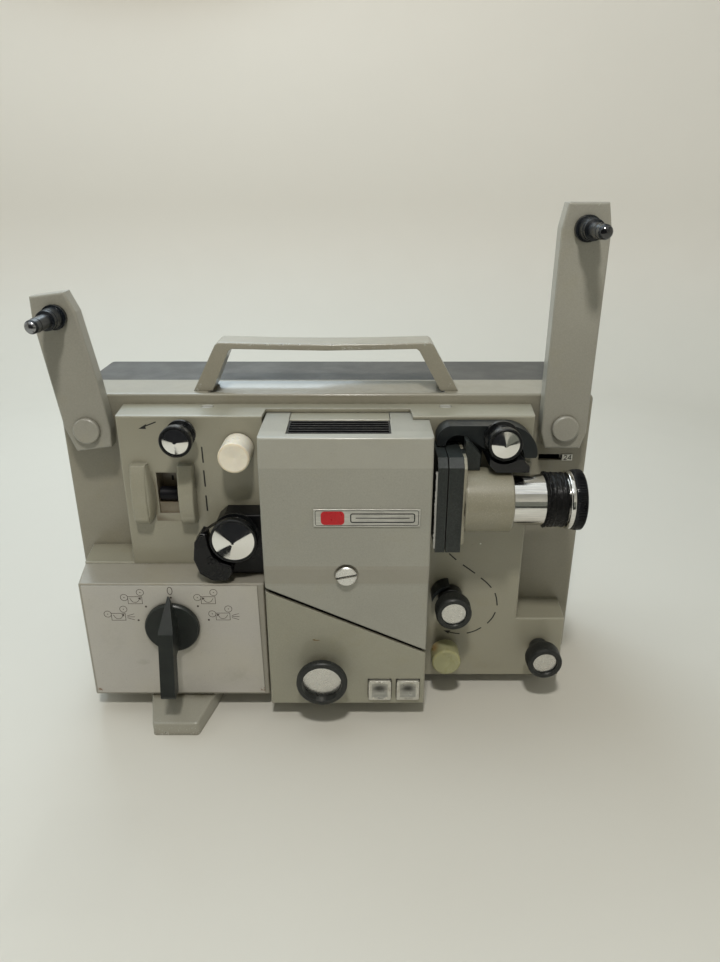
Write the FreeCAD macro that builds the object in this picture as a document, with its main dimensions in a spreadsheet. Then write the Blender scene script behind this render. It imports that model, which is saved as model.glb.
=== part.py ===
import FreeCAD, Part
import Sketcher
import math
import os

# Film projector for small-gauge sound film, seen from its threading side.
# Frame: millimetres, +Z up, -Y towards the viewer of the film path, the lens
# points along +X. The origin is on the table under the middle of the whole
# machine. Lengths below are first given in a bench frame whose Y=0 is the
# front face of the main casting and whose X=0 is the lamp house's middle;
# origin_x and origin_y carry every sub-part into the final frame.

os.makedirs("parts", exist_ok=True)
doc = FreeCAD.newDocument("film_projector")
sheet = doc.addObject("Spreadsheet::Sheet", "dims")


class Dim:
    """A driving dimension: its number, and the sheet expression that gives it."""

    def __init__(self, value, text):
        self.value, self.text = float(value), text

    def __float__(self):
        return self.value

    def _op(self, other, sign, flip=False):
        a, b = (other, self) if flip else (self, other)
        x, y = float(a), float(b)
        v = {"+": x + y, "-": x - y, "*": x * y, "/": x / y if y else 0.0}[sign]
        return Dim(v, "(%s %s %s)" % (words(a), sign, words(b)))

    def __add__(self, o):
        return self._op(o, "+")

    def __radd__(self, o):
        return self._op(o, "+", True)

    def __sub__(self, o):
        return self._op(o, "-")

    def __rsub__(self, o):
        return self._op(o, "-", True)

    def __mul__(self, o):
        return self._op(o, "*")

    def __rmul__(self, o):
        return self._op(o, "*", True)

    def __truediv__(self, o):
        return self._op(o, "/")

    def __neg__(self):
        return Dim(-self.value, "(0 - %s)" % self.text)


def words(v):
    return v.text if isinstance(v, Dim) else "%.6f" % float(v)


TABLE = [
    ("origin_x", 22.3, "bench X to final X"),
    ("origin_y", -6.3, "bench Y to final Y"),
    ("case_left", -197.4, "main casting, left side"),
    ("case_right", 152.8, "main casting, right side"),
    ("case_base", 14.0, "underside of the casting and cover"),
    ("case_top", 212.2, "top of the casting and cover"),
    ("case_seam", 36.4, "joint between casting and rear cover"),
    ("case_wall", 3.0, "wall of the casting"),
    ("cover_back", 94.6, "back of the rear cover"),
    ("cover_left", -193.5, "rear cover, left side"),
    ("cover_right", 149.0, "rear cover, right side"),
    ("cover_wall", 2.5, "wall of the rear cover"),
    ("deck_front", -27.0, "front of the film deck"),
    ("deck_wall", 2.5, "wall of the film deck"),
    ("deck_base", 13.0, "underside of the film deck"),
    ("deck_top", 205.6, "top of the film deck"),
    ("deck_left", -152.5, "film deck, left edge of its front"),
    ("deck_right", 109.1, "film deck, right edge of its front"),
    ("ledge_left", 102.5, "height of the left ledge"),
    ("ledge_right", 58.0, "height of the right ledge"),
    ("box_left", -182.0, "control box, left side at its front"),
    ("box_right", -62.0, "control box, right side"),
    ("box_front", -52.4, "control box, front wall"),
    ("box_base", 13.0, "control box, underside"),
    ("box_top", 100.7, "control box, top"),
    ("panel_thick", 1.0, "control panel"),
    ("lamp_left", -60.0, "lamp house, left side"),
    ("lamp_right", 43.2, "lamp house, right side"),
    ("lamp_top", 203.2, "lamp house, top"),
    ("lamp_front", -64.0, "lamp house, main front facet"),
    ("lamp_base", 13.2, "lamp house, underside"),
    ("lamp_wall", 2.0, "lamp house wall"),
    ("knob_radius", 16.2, "volume knob"),
    ("knob_front", -78.0, "volume knob, front rim"),
    ("small_knob_radius", 11.7, "loop sprocket and elevation knobs"),
    ("roller_radius", 9.8, "plain film rollers"),
    ("shaft_radius", 2.0, "roller shafts"),
    ("run_gap", 0.05, "radial clearance of running fits"),
    ("free_gap", 0.4, "gap between parts that move past each other"),
    ("optic_y", -48.0, "optical axis, distance in front of the casting"),
    ("optic_z", 158.2, "optical axis, height"),
    ("lens_radius", 15.7, "lens barrel"),
    ("carrier_radius", 20.0, "lens carrier tube"),
    ("arm_thick", 10.0, "reel arm thickness"),
    ("arm_back", -10.0, "back face of the reel arms"),
    ("arm_half", 14.4, "half width of the reel arms"),
    ("left_arm_reach", 72.0, "left pivot to spindle"),
    ("right_arm_reach", 120.0, "right pivot to spindle"),
    ("pivot_radius", 4.0, "reel arm pivot pins"),
    ("spindle_seat", 6.25, "radius of the reel seat on the spindle"),
    ("handle_depth", 23.0, "carrying handle, front to back"),
    ("handle_top", 244.2, "top of the carrying handle"),
    ("foot_front", -78.0, "front edge of the support foot"),
    ("rod_radius", 3.0, "elevating foot rod"),
    ("button_side", 15.0, "push button width"),
]
for row, (alias, value, note) in enumerate(TABLE, start=1):
    sheet.set("A%d" % row, note)
    sheet.set("B%d" % row, repr(value))
    sheet.setAlias("B%d" % row, alias)
doc.recompute()
d = {alias: Dim(value, "dims." + alias) for alias, value, _ in TABLE}
V = FreeCAD.Vector
nodes = []
count = [0]


def fresh(kind):
    count[0] += 1
    return "%s_%03d" % (kind, count[0])


def bind(obj, prop, value):
    if isinstance(value, Dim):
        obj.setExpression(prop, value.text)


def place(obj, x, y, z, rotation=None):
    obj.Placement = FreeCAD.Placement(V(float(x), float(y), float(z)), rotation or FreeCAD.Rotation())
    bind(obj, "Placement.Base.x", x)
    bind(obj, "Placement.Base.y", y)
    bind(obj, "Placement.Base.z", z)


def box(x0, x1, y0, y1, z0, z1, name=None):
    b = doc.addObject("Part::Box", name or fresh("block"))
    for prop, value in (("Length", x1 - x0), ("Width", y1 - y0), ("Height", z1 - z0)):
        setattr(b, prop, float(value))
        bind(b, prop, value)
    place(b, x0, y0, z0)
    return b


TURN = {
    "X": FreeCAD.Rotation(V(0, 1, 0), 90),
    "Y": FreeCAD.Rotation(V(1, 0, 0), -90),
    "Z": FreeCAD.Rotation(),
}


def rod(axis, x, y, z, radius, length, name=None):
    """A cylinder that starts at x, y, z and runs along the positive axis."""
    c = doc.addObject("Part::Cylinder", name or fresh("rod"))
    c.Radius, c.Height = float(radius), float(length)
    bind(c, "Radius", radius)
    bind(c, "Height", length)
    place(c, x, y, z, TURN[axis])
    return c


def cone(axis, x, y, z, r1, r2, length):
    c = doc.addObject("Part::Cone", fresh("cone"))
    c.Radius1, c.Radius2, c.Height = float(r1), float(r2), float(length)
    bind(c, "Height", length)
    place(c, x, y, z, TURN[axis])
    return c


def fuse(parts, name=None):
    f = doc.addObject("Part::MultiFuse", name or fresh("fuse"))
    f.Shapes = parts
    f.Refine = True
    return f


def cut(base, tools, name=None):
    tool = tools[0] if len(tools) == 1 else doc.addObject("Part::Compound", fresh("tools"))
    if len(tools) > 1:
        tool.Links = tools
    c = doc.addObject("Part::Cut", name or fresh("cut"))
    c.Base, c.Tool, c.Refine = base, tool, True
    return c


def common(a, b, name=None):
    c = doc.addObject("Part::MultiCommon", name or fresh("common"))
    c.Shapes = [a, b]
    return c


def group(parts, name=None):
    c = doc.addObject("Part::Compound", name or fresh("group"))
    c.Links = parts
    return c


def rounded(base, radius, choose, name=None):
    """Fillets the edges of base whose two end points choose() accepts."""
    doc.recompute()
    picked = []
    for i, e in enumerate(base.Shape.Edges, start=1):
        a, b = e.Vertexes[0].Point, e.Vertexes[-1].Point
        if choose(a, b):
            picked.append((i, float(radius), float(radius)))
    f = doc.addObject("Part::Fillet", name or fresh("round"))
    f.Base = base
    f.Edges = picked
    return f


def along(axis):
    k = {"X": (1, 2), "Y": (0, 2), "Z": (0, 1)}[axis]
    return lambda a, b: all(abs(a[i] - b[i]) < 0.01 for i in k)


def solid_feature(shape, name=None):
    f = doc.addObject("Part::Feature", name or fresh("solid"))
    f.Shape = shape
    return f


def origin_plane(body, role):
    return [o for o in body.Origin.OriginFeatures if o.Role == role][0]


def outline(body, role, points, holes=()):
    """A closed sketch of straight edges, each corner held by its two distances, with round holes."""
    sk = body.newObject("Sketcher::SketchObject", fresh("sketch"))
    sk.AttachmentSupport = [(origin_plane(body, role), "")]
    sk.MapMode = "FlatFace"
    n = len(points)
    lines = []
    for i in range(n):
        a, b = points[i], points[(i + 1) % n]
        lines.append(Part.LineSegment(V(float(a[0]), float(a[1]), 0), V(float(b[0]), float(b[1]), 0)))
    sk.addGeometry(lines, False)
    rules, bound = [], []
    for i in range(n):
        rules.append(Sketcher.Constraint("Coincident", i, 2, (i + 1) % n, 1))
    for i, p in enumerate(points):
        for kind, value in (("DistanceX", p[0]), ("DistanceY", p[1])):
            rules.append(Sketcher.Constraint(kind, i, 1, float(value)))
            if isinstance(value, Dim):
                bound.append((len(rules) - 1, value))
    for k, (hx, hy, hr) in enumerate(holes):
        sk.addGeometry(Part.Circle(V(float(hx), float(hy), 0), V(0, 0, 1), float(hr)), False)
        g = n + k
        for kind, value in (("DistanceX", hx), ("DistanceY", hy)):
            rules.append(Sketcher.Constraint(kind, g, 3, float(value)))
            if isinstance(value, Dim):
                bound.append((len(rules) - 1, value))
        rules.append(Sketcher.Constraint("Radius", g, float(hr)))
        if isinstance(hr, Dim):
            bound.append((len(rules) - 1, hr))
    sk.addConstraint(rules)
    for i, value in bound:
        sk.setExpression("Constraints[%d]" % i, value.text)
    return sk


def plate(points, depth, holes=(), role="XZ_Plane", name=None):
    """A body padded from an outline; on the XZ plane it grows towards -Y."""
    b = doc.addObject("PartDesign::Body", name or fresh("body"))
    sk = outline(b, role, points, holes)
    pad = b.newObject("PartDesign::Pad", fresh("pad"))
    pad.Profile = sk
    pad.Length = float(depth)
    bind(pad, "Length", depth)
    return b


def pocket(body, points, depth, role="XZ_Plane", holes=()):
    """Takes an outline out of a body, from its sketch plane into the material."""
    doc.recompute()
    before = body.Shape.Volume
    sk = outline(body, role, points, holes)
    p = body.newObject("PartDesign::Pocket", fresh("pocket"))
    p.Profile = sk
    p.Length = float(depth)
    bind(p, "Length", depth)
    p.Reversed = True
    doc.recompute()
    if body.Shape.Volume > before - 1e-6:
        p.Reversed = False
        doc.recompute()
    if body.Shape.Volume > before - 1e-6:
        raise RuntimeError("pocket %s cut nothing" % body.Name)
    return body


def turned(points, name=None):
    """A body turned about its own Y axis from (radius, y) points."""
    b = doc.addObject("PartDesign::Body", name or fresh("turned"))
    sk = outline(b, "XY_Plane", points)
    rev = b.newObject("PartDesign::Revolution", fresh("revolution"))
    rev.Profile = sk
    rev.ReferenceAxis = (sk, ["V_Axis"])
    rev.Angle = 360
    return b


def node(label, obj, x=0, y=0, z=0, rotation=None):
    """Names a finished sub-part and carries it into the final frame."""
    obj.Label = label
    place(obj, d["origin_x"] + x, d["origin_y"] + y, z, rotation)
    nodes.append((label, obj))
    return obj


TO_X = FreeCAD.Rotation(V(0, 0, 1), -90)  # a turned body's axis laid along +X
TO_Z = FreeCAD.Rotation(V(1, 0, 0), 90)  # and stood along +Z

# Where the film path's shafts stand on the deck: (x, z).
SNUBBER = (-110.1, 197.0)
WHITE_TOP = (-76.9, 184.9)
WHITE_LOW = (59.3, 35.0)
SPROCKET_TOP = (85.9, 196.8)
SPROCKET_LOW = (61.8, 77.2)
ELEVATION = (126.4, 35.8)
DRUM = (-79.3, 132.3)
PRESSER = (-85.5, 108.5)
LEFT_PIVOT = (-173.5, 194.0)
RIGHT_PIVOT = (130.0, 195.5)
VOLUME = (-24.6, 40.9)
COIN = (-8.5, 113.7)
BUTTONS = ((13.2, 25.8), (32.0, 25.8))
SELECTOR = (-123.3, 69.4)
WHEEL = (-22.0, 151.3)  # framing wheel axle, (y, z)
HANDLE_X = (-103.5, 59.0)
FEET = ((-165.0, 78.0), (122.0, 78.0))
LIFT = (118.3, 15.0)
SHUTTER = (-10.0, 150.0)  # main shaft, (y, z)
MOTOR = (16.0, 125.0)  # motor shaft, (y, z)
COVER_SCREWS = ((-178.0, 28.0), (-178.0, 198.0), (134.0, 28.0), (134.0, 198.0))

# ---------------------------------------------------------------- main casting
shell = rounded(
    rounded(
        box(d["case_left"], d["case_right"], 0 * d["case_seam"], d["case_seam"], d["case_base"], d["case_top"]),
        4.0,
        along("Y"),
    ),
    1.6,
    lambda a, b: abs(a.y) < 0.01 and abs(b.y) < 0.01,
)
inside = box(
    d["case_left"] + d["case_wall"],
    d["case_right"] - d["case_wall"],
    d["case_wall"],
    d["case_seam"] + 1,
    d["case_base"] + d["case_wall"],
    d["case_top"] - 6.2,
)
window = box(-140, 100, -1, 4, 30, 170)
shutter_slot = box(34, 41, -1, 4, 160, 195)
flywheel_slot = box(-53, -43, -1, 4, 160, 184)
scoop = rod("X", -100.2, 18.5, 254.2, 44.6, 156.2)
holes = [
    rod("Y", LEFT_PIVOT[0], -12, LEFT_PIVOT[1], d["pivot_radius"], 20),
    rod("Y", RIGHT_PIVOT[0], -12, RIGHT_PIVOT[1], d["pivot_radius"], 20),
    rod("Z", LIFT[0], LIFT[1], 0, d["rod_radius"] + d["run_gap"], 30),
    rod("Y", ELEVATION[0], -2, ELEVATION[1], d["shaft_radius"] + d["run_gap"] + 1, 8),
    box(120.5, 143.5, -1, 4, 166.2, 170.4),
    rod("Y", WHITE_LOW[0], -1, WHITE_LOW[1], 5, 6),
    rod("Y", SPROCKET_TOP[0], -1, SPROCKET_TOP[1], 6, 6),
    rod("Y", SNUBBER[0], -1, SNUBBER[1], 5, 6),
    rod("Y", WHITE_TOP[0], -1, WHITE_TOP[1], 5, 6),
] + [rod("Z", x, 19.5, 200, 1.6, 20) for x in HANDLE_X]
extras = [
    rod("Y", LEFT_PIVOT[0], -9.6, LEFT_PIVOT[1], 11, 10),
    rod("Y", RIGHT_PIVOT[0], -9.6, RIGHT_PIVOT[1], 11, 10),
    box(-42, -38, -16, 3, 142, 176),
    box(28, 32, -16, 3, 142, 176),
    rod("Z", LIFT[0], LIFT[1], 14, 7, 12),
]
bearings = [rod("X", -50, SHUTTER[0], SHUTTER[1], 3.05, 100)]
casting = cut(fuse([cut(shell, [inside, window, shutter_slot, flywheel_slot, scoop]), fuse(extras)]), holes + bearings)
node("rear_casting", casting)

# ------------------------------------------------------------------ rear cover
cover = rounded(
    rounded(
        box(d["cover_left"], d["cover_right"], d["case_seam"], d["cover_back"], d["case_base"], d["case_top"]),
        5.0,
        along("Y"),
    ),
    3.0,
    lambda a, b: a.y > 90 and b.y > 90,
)
hollow = box(
    d["cover_left"] + d["cover_wall"],
    d["cover_right"] - d["cover_wall"],
    d["case_seam"] - 1,
    d["cover_back"] - d["cover_wall"],
    d["case_base"] + d["cover_wall"],
    d["case_top"] - d["cover_wall"],
)
slots = [box(38, 102, 88, 96, 92 + 8 * k, 95.4 + 8 * k) for k in range(9)]
slots += [box(-160 + 9 * k, -155.6 + 9 * k, 88, 96, 120, 178) for k in range(10)]
slots += [box(-150 + 12 * k, -144 + 12 * k, 50, 84, 10, 20) for k in range(8)]
slots += [box(-150 - 13.0, -150 + 13.0, 88, 96, 32, 48)]
slots += [box(-112, -44, 88, 96, 29, 51)]
slots += [rod("Y", x, 84, z, 2.1, 12) for x, z in COVER_SCREWS]
slots += [cone("Y", x, 92.2, z, 2.1, 4.6, 2.5) for x, z in COVER_SCREWS]
post_holes = [rod("Y", x, 29, z, 2.1, 70) for x, z in COVER_SCREWS]
node("rear_cover", cut(fuse([cut(cover, [hollow])] + [rod("Y", x, d["case_seam"], z, 4.5, 56.0) for x, z in COVER_SCREWS]), slots + post_holes))

# ------------------------------------------------------------------- film deck
def wire(points, y):
    vs = [V(x, y, z) for x, z in points]
    return Part.makePolygon(vs + [vs[0]])


def loft(front, y_front, back, y_back):
    return Part.makeLoft([wire(front, y_front), wire(back, y_back)], True, True)


dl, dr, db, dt = (float(d[k]) for k in ("deck_left", "deck_right", "deck_base", "deck_top"))
zl, zr, yf = float(d["ledge_left"]), float(d["ledge_right"]), float(d["deck_front"])
front = [(-186, db), (-186, zl), (dl, zl), (dl, dt), (dr, dt), (dr, zr), (143, zr), (143, db)]
back = [(-189, db), (-189, zl), (-162, zl), (-155, dt), (112, dt), (116.5, zr), (144.7, zr), (144.7, db)]
w = float(d["deck_wall"])
front_in = [(-183.5, db + w), (-183.5, zl - w), (dl + w, zl - w), (dl + w, dt - w), (dr - w, dt - w), (dr - w, zr - w), (140.5, zr - w), (140.5, db + w)]
back_in = [(-186.5, db + w), (-186.5, zl - w), (-159.5, zl - w), (-152.5, dt - w), (109.5, dt - w), (114, zr - w), (142.2, zr - w), (142.2, db + w)]
deck_solid = loft(front, yf, back, 0.0)
soft_edges = [
    e
    for e in deck_solid.Edges
    if all(abs(v.Point.y - yf) < 0.01 for v in e.Vertexes)
]
deck_solid = deck_solid.makeFillet(1.2, soft_edges)
deck_hollow = loft(front_in, yf + w, back_in, 0.5)


def fin(x, width, plan=None):
    """A finger guard beside the framing wheel, from its side outline."""
    side = [
        Part.makeLine(V(x, -24.6, 133.5), V(x, -30.5, 133.5)),
        Part.Arc(V(x, -30.5, 133.5), V(x, -34.6, 135.6), V(x, -36.2, 140.5)).toShape(),
        Part.Arc(V(x, -36.2, 140.5), V(x, -37.1, 151.0), V(x, -35.9, 162.0)).toShape(),
        Part.Arc(V(x, -35.9, 162.0), V(x, -34.6, 168.6), V(x, -32.4, 174.3)).toShape(),
        Part.makeLine(V(x, -32.4, 174.3), V(x, -24.6, 174.3)),
        Part.makeLine(V(x, -24.6, 174.3), V(x, -24.6, 133.5)),
    ]
    f = Part.Face(Part.Wire(side)).extrude(V(width, 0, 0))
    if plan:
        f = f.common(Part.Face(Part.makePolygon([V(a, b, 120) for a, b in plan + plan[:1]])).extrude(V(0, 0, 70)))
    picked = [e for e in f.Edges if all(v.Point.y < -27.1 for v in e.Vertexes) and abs(e.Vertexes[0].Point.x - e.Vertexes[-1].Point.x) < 5]
    return f.makeFillet(1.2, picked)


fins = [
    fin(-145.8, 12.0, [(-146.8, -40.0), (-136.0, -40.0), (-135.8, -24.0), (-146.8, -24.0)]),
    fin(-115.9, 12.0, [(-116.9, -40.0), (-106.1, -40.0), (-105.9, -24.0), (-116.9, -24.0)]),
]
tongue = Part.makeBox(62.6, 17.0, 3.0, V(-44.0, -25.6, 199.9))
tongue = tongue.makeFillet(1.0, [e for e in tongue.Edges if all(abs(v.Point.y + 25.6) < 0.01 and v.Point.z > 202 for v in e.Vertexes)])
wheel_shell = Part.makeBox(17.0, 13.0, 32.7, V(-133.0, -25.0, 137.0))
wheel_room = Part.makeBox(13.0, 14.0, 28.7, V(-131.0, -28.0, 139.0))
wheel_step = Part.makeBox(13.0, 11.6, 7.3, V(-131.0, -25.5, 139.0))
wheel_bore = Part.makeCylinder(1.55, 30, V(-139, WHEEL[0], WHEEL[1]), V(1, 0, 0))
lip = Part.makeBox(98.3, 25.0, 4.6, V(44.7, -27.0, 9.8))
lip = lip.makeFillet(1.0, [e for e in lip.Edges if all(abs(v.Point.y + 27.0) < 0.01 and abs(v.Point.z - 9.8) < 0.01 for v in e.Vertexes)])
lug = Part.makeBox(3.6, 4.0, 3.0, V(104.8, -30.0, 172.8))
hang = Part.makeBox(62.6, 3.0, 2.5, V(-44.0, -11.0, 202.0))
deck_body = deck_solid.cut(deck_hollow).fuse(fins + [wheel_shell, lip, lug])
notch_plan = Part.Face(Part.makePolygon([V(-61.2, -29, 200), V(-61.1, -25.0, 200), V(-60.4, -11.4, 200), V(32.1, -11.4, 200), V(33.1, -29, 200), V(-61.2, -29, 200)])).extrude(V(0, 0, 8))
notch = Part.makeBox(103.6, 20.0, 193.35, V(-60.2, -28.0, 10.0))
deck_body = deck_body.cut(notch_plan).cut(notch)
deck_body = deck_body.fuse([tongue, hang]).cut([wheel_room]).fuse(wheel_step).cut(wheel_bore)


def hole_y(x, z, r, y0=-30.0, length=40.0):
    return Part.makeCylinder(r, length, V(x, y0, z), V(0, 1, 0))


gap = float(d["run_gap"])
shaft = float(d["shaft_radius"])
cuts = [
    hole_y(*SNUBBER, shaft + gap),
    hole_y(*WHITE_TOP, shaft + gap),
    hole_y(*WHITE_LOW, shaft + gap),
    hole_y(*SPROCKET_TOP, shaft + gap),
    hole_y(*SPROCKET_LOW, shaft + gap),
    hole_y(*ELEVATION, shaft + gap),
    hole_y(*DRUM, 3.4),
    hole_y(*PRESSER, shaft + gap),
]
for x in (-99.0, 55.5):
    cuts.append(Part.makeCylinder(2.1, 8, V(x, -5.5, 200), V(0, 0, 1)))
    cuts.append(Part.makeCone(2.1, 4.5, 2.4, V(x, -5.5, dt - 2.2), V(0, 0, 1)))
deck_body = deck_body.cut(cuts)
node("film_deck", solid_feature(deck_body.removeSplitter()))

# ----------------------------------------------------------------- control box
bl, br, bf, bb, bt = (float(d[k]) for k in ("box_left", "box_right", "box_front", "box_base", "box_top"))
cb_front = [(bl, bb), (bl, bt), (br, bt), (br, bb)]
cb_back = [(-186, bb), (-186, bt + 0.8), (-60.6, bt + 0.8), (-60.6, bb)]
cb = loft(cb_front, bf, cb_back, yf)
cb = cb.makeFillet(1.2, [e for e in cb.Edges if not all(abs(v.Point.y - yf) < 0.01 for v in e.Vertexes)])
cb_in = loft([(bl + 2, bb + 2), (bl + 2, bt - 2), (br - 2, bt - 2), (br - 2, bb + 2)], bf + 2, [(-184, bb + 2), (-184, bt - 1.2), (-62.6, bt - 1.2), (-62.6, bb + 2)], yf + 0.5)
cb = cb.cut(cb_in).cut(hole_y(*SELECTOR, 4.05, -60, 20))
node("control_box", solid_feature(cb))

panel = plate(
    [(d["box_left"] + 2, d["box_base"] + 2.4), (d["box_right"] - 3.3, d["box_base"] + 2.4), (d["box_right"] - 4.5, d["box_top"] - 1.2), (d["box_left"] + 2, d["box_top"] - 1.2)],
    d["panel_thick"],
    [(SELECTOR[0], SELECTOR[1], 4.6)],
)
node("control_panel", panel, 0, d["box_front"], 0)

# ------------------------------------------------------------------ lamp house
lt, lf, lb, lw = (float(d[k]) for k in ("lamp_top", "lamp_front", "lamp_base", "lamp_wall"))
ll, lr = float(d["lamp_left"]), float(d["lamp_right"])


def yz_prism(points, x0, x1):
    vs = [V(x0, y, z) for y, z in points]
    return Part.Face(Part.makePolygon(vs + [vs[0]])).extrude(V(x1 - x0, 0, 0))


house_profile = [(-11.8, lt), (lf + 3.0, lt), (lf, 185), (lf, 117.5), (lf + 1.4, 105.3), (lf + 1.4, lb), (-11.8, lb)]
room_profile = [(-5, lt - lw), (lf + 3.0 + lw, lt - lw), (lf + lw, 184.6), (lf + lw, 117.8), (lf + 1.4 + lw, 105.5), (lf + 1.4 + lw, lb + lw), (-5, lb + lw)]
house = yz_prism(house_profile, ll, lr)
house = house.makeFillet(1.5, [e for e in house.Edges if all(v.Point.y < -13 for v in e.Vertexes) and not (abs(e.Vertexes[0].Point.x - e.Vertexes[-1].Point.x) > 1 and e.Vertexes[0].Point.z < 190 and e.Vertexes[0].Point.z > 20)])
room = yz_prism(room_profile, ll + lw, lr - lw)
skin = house.cut(room)
# The diagonal joint between the two covers falls from the left side to the right.
def below(z_left, z_right):
    slope = (z_right - z_left) / 103.2
    vs = [V(-90, -90, 0), V(80, -90, 0), V(80, -90, z_right + slope * 36.8), V(-90, -90, z_left - slope * 30)]
    return Part.Face(Part.makePolygon(vs + [vs[0]])).extrude(V(0, 120, 0))


upper = skin.cut(below(103.9, 56.65))
lower = skin.common(below(100.9, 54.1))
grille_hole = Part.makeBox(62.6, 27.6, 8, V(-44, -54, 197))
upper = upper.cut([
    grille_hole,
    Part.makeBox(63.3, 16.4, 8, V(-44.35, -26.4, 198)),
    Part.makeCylinder(4.3, 12, V(COIN[0], -68, COIN[1]), V(0, 1, 0)),
    Part.makeCylinder(7.5, 5.0, V(COIN[0], -68, COIN[1]), V(0, 1, 0)),
    Part.makeCylinder(10.0, 10, V(lr - 5, float(d["optic_y"]), float(d["optic_z"])), V(1, 0, 0)),
])
node("lamp_house_cover", solid_feature(upper))
bs = float(d["button_side"]) / 2
lower_cuts = [Part.makeBox(2 * bs + 0.8, 12, 2 * bs + 1.0, V(x - bs - 0.4, -68, z - bs - 0.5)) for x, z in BUTTONS]
lower_cuts.append(hole_y(*VOLUME, 3.05, -68, 12))
lower = lower.cut(lower_cuts)
button_guides = [Part.makeBox(12, 3, 12, V(x - 6, -50, z - 6)).cut(Part.makeBox(6.2, 5, 6.2, V(x - 3.1, -51, z - 3.1))) for x, z in BUTTONS]
rail = Part.makeBox(34, 3, 6.2, V(7, -50, 14.4))
lower = lower.fuse(button_guides + [rail]).removeSplitter()
node("lamp_house_base", solid_feature(lower))

# louvred grille let into the top
frame_plate = Part.makeBox(62.6, 27.6, 4.2, V(-44.0, -54.0, 198.0))
openings = [Part.makeBox(60.6, 3.7, 6, V(-43.0, -53.2 + 4.5 * k, 197)) for k in range(6)]
node("vent_grille", solid_feature(frame_plate.cut(openings)))

node("badge_plate", plate([(-28.0, 147.6), (36.3, 147.6), (36.3, 159.2), (-28.0, 159.2)], 0.9), 0, d["lamp_front"], 0)

coin = turned([(0, -66.6), (5.9, -66.6), (6.6, -66.0), (6.6, -63.1), (4.0, -63.1), (4.0, -52.0), (0, -52.0)])
coin_slot = box(-7, 7, -67, -64.6, -0.8, 0.8)
coin_bar = box(-9, 9, -56.5, -53.5, -2.5, 2.5)
coin_cut = cut(fuse([coin, coin_bar]), [coin_slot])
node("coin_screw", coin_cut, COIN[0], 0, COIN[1], FreeCAD.Rotation(V(0, 1, 0), -11))

# --------------------------------------------------------------------- handle
handle = plate(
    [
        (-110.0, d["case_top"]), (-97.6, d["case_top"]), (-85.5, 238.6), (-83.6, 240.0), (-54.0, 239.4), (-22.3, 238.9), (9.0, 239.4), (36.6, 240.0), (38.6, 238.6), (53.3, d["case_top"]), (65.0, d["case_top"]),
        (47.6, d["handle_top"] - 1.6), (45.2, d["handle_top"]), (9.0, d["handle_top"] - 0.9), (-22.3, d["handle_top"] - 1.2), (-54.0, d["handle_top"] - 0.9), (-91.6, d["handle_top"]), (-94.0, d["handle_top"] - 1.6),
    ],
    d["handle_depth"],
)
handle_cut = cut(handle, [rod("Z", x, -11.5, 206, 1.6, 16) for x in HANDLE_X])
handle_soft = rounded(handle_cut, 1.2, lambda a, b: abs(a.y - b.y) < 0.01 and a.z > 213 and b.z > 213 and (abs(a.y) < 0.01 or a.y < -22.9) and abs(a.z - b.z) < 1.5 and a.z > 242)
node("carrying_handle", handle_soft, 0, 31.0, 0)

# -------------------------------------------------------------------- fasteners
screws = []
for x, z in COVER_SCREWS:
    head = cone("Y", x, 92.3, z, 2.0, 4.1, 2.1)
    screws.append(cut(fuse([head, rod("Y", x, 60, z, 2.0, 33)]), [box(x - 4.5, x + 4.5, 93.4, 96, z - 0.5, z + 0.5)]))
for x in (-99.0, 55.5):
    head = cone("Z", x, -5.5, d["deck_top"] - 2.1, 1.9, 3.9, 1.9)
    screws.append(cut(fuse([head, rod("Z", x, -5.5, d["deck_top"] - 10, 1.9, 9)]), [box(x - 4.2, x + 4.2, -6.0, -5.0, d["deck_top"] - 1.1, d["deck_top"] + 1)]))
for x in HANDLE_X:
    screws.append(fuse([rod("Z", x, 19.5, 203.0, 3.0, 3.0), rod("Z", x, 19.5, 204.0, 1.55, 16.0)]))
node("case_screws", group(screws))

# ------------------------------------------------------------------------ feet
foot = rounded(
    plate(
        [(-137.0, -78.0), (-107.0, -78.0), (-99.9, -49.0), (-95.0, -20.0), (-150.7, -20.0), (-144.6, -49.0)],
        14.5,
        role="XY_Plane",
    ),
    2.5,
    lambda a, b: along("Z")(a, b) and a.y < -77,
)
wedge = solid_feature(yz_prism([(-90, 8.9), (-50.0, 11.6), (-50.0, 12.9), (-10, 12.9), (-10, 30), (-90, 30)], -160, -80))
foot_top = cut(foot, [wedge])
foot_soft = rounded(foot_top, 1.6, lambda a, b: a.z > 8.5 and b.z > 8.5 and a.y < -48 and b.y < -48 and a.z < 12 and b.z < 12 and not (abs(a.x - b.x) > 20 and a.y > -60))
node("support_foot", foot_soft)

feet = []
for x, y in FEET:
    feet.append(rod("Z", x, y, 0, 8.0, d["case_base"]))
node("rubber_feet", group(feet))

lift = fuse([
    rod("Z", LIFT[0], LIFT[1], 0, 9.0, 6.0),
    cone("Z", LIFT[0], LIFT[1], 6.0, 9.0, 5.0, 4.0),
    rod("Z", LIFT[0], LIFT[1], 8.0, d["rod_radius"], 68.0),
])
node("elevating_foot", lift)

sk = float(d["small_knob_radius"])
elev = turned([(0, -47.0), (8.0, -47.0), (8.4, -50.0), (10.6, -50.0), (11.4, -49.4), (d["small_knob_radius"], -41.0), (11.2, -38.6), (7.0, -37.8), (6.5, -28.2), (d["shaft_radius"], -28.2), (d["shaft_radius"], 9.0), (4.6, 9.0), (4.6, 20.0), (0, 20.0)])
node("elevation_knob", elev, ELEVATION[0], 0, ELEVATION[1])
node("elevation_knob_disc", turned([(0, -48.0), (7.8, -48.0), (7.8, -47.0), (0, -47.0)]), ELEVATION[0], 0, ELEVATION[1])

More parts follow.
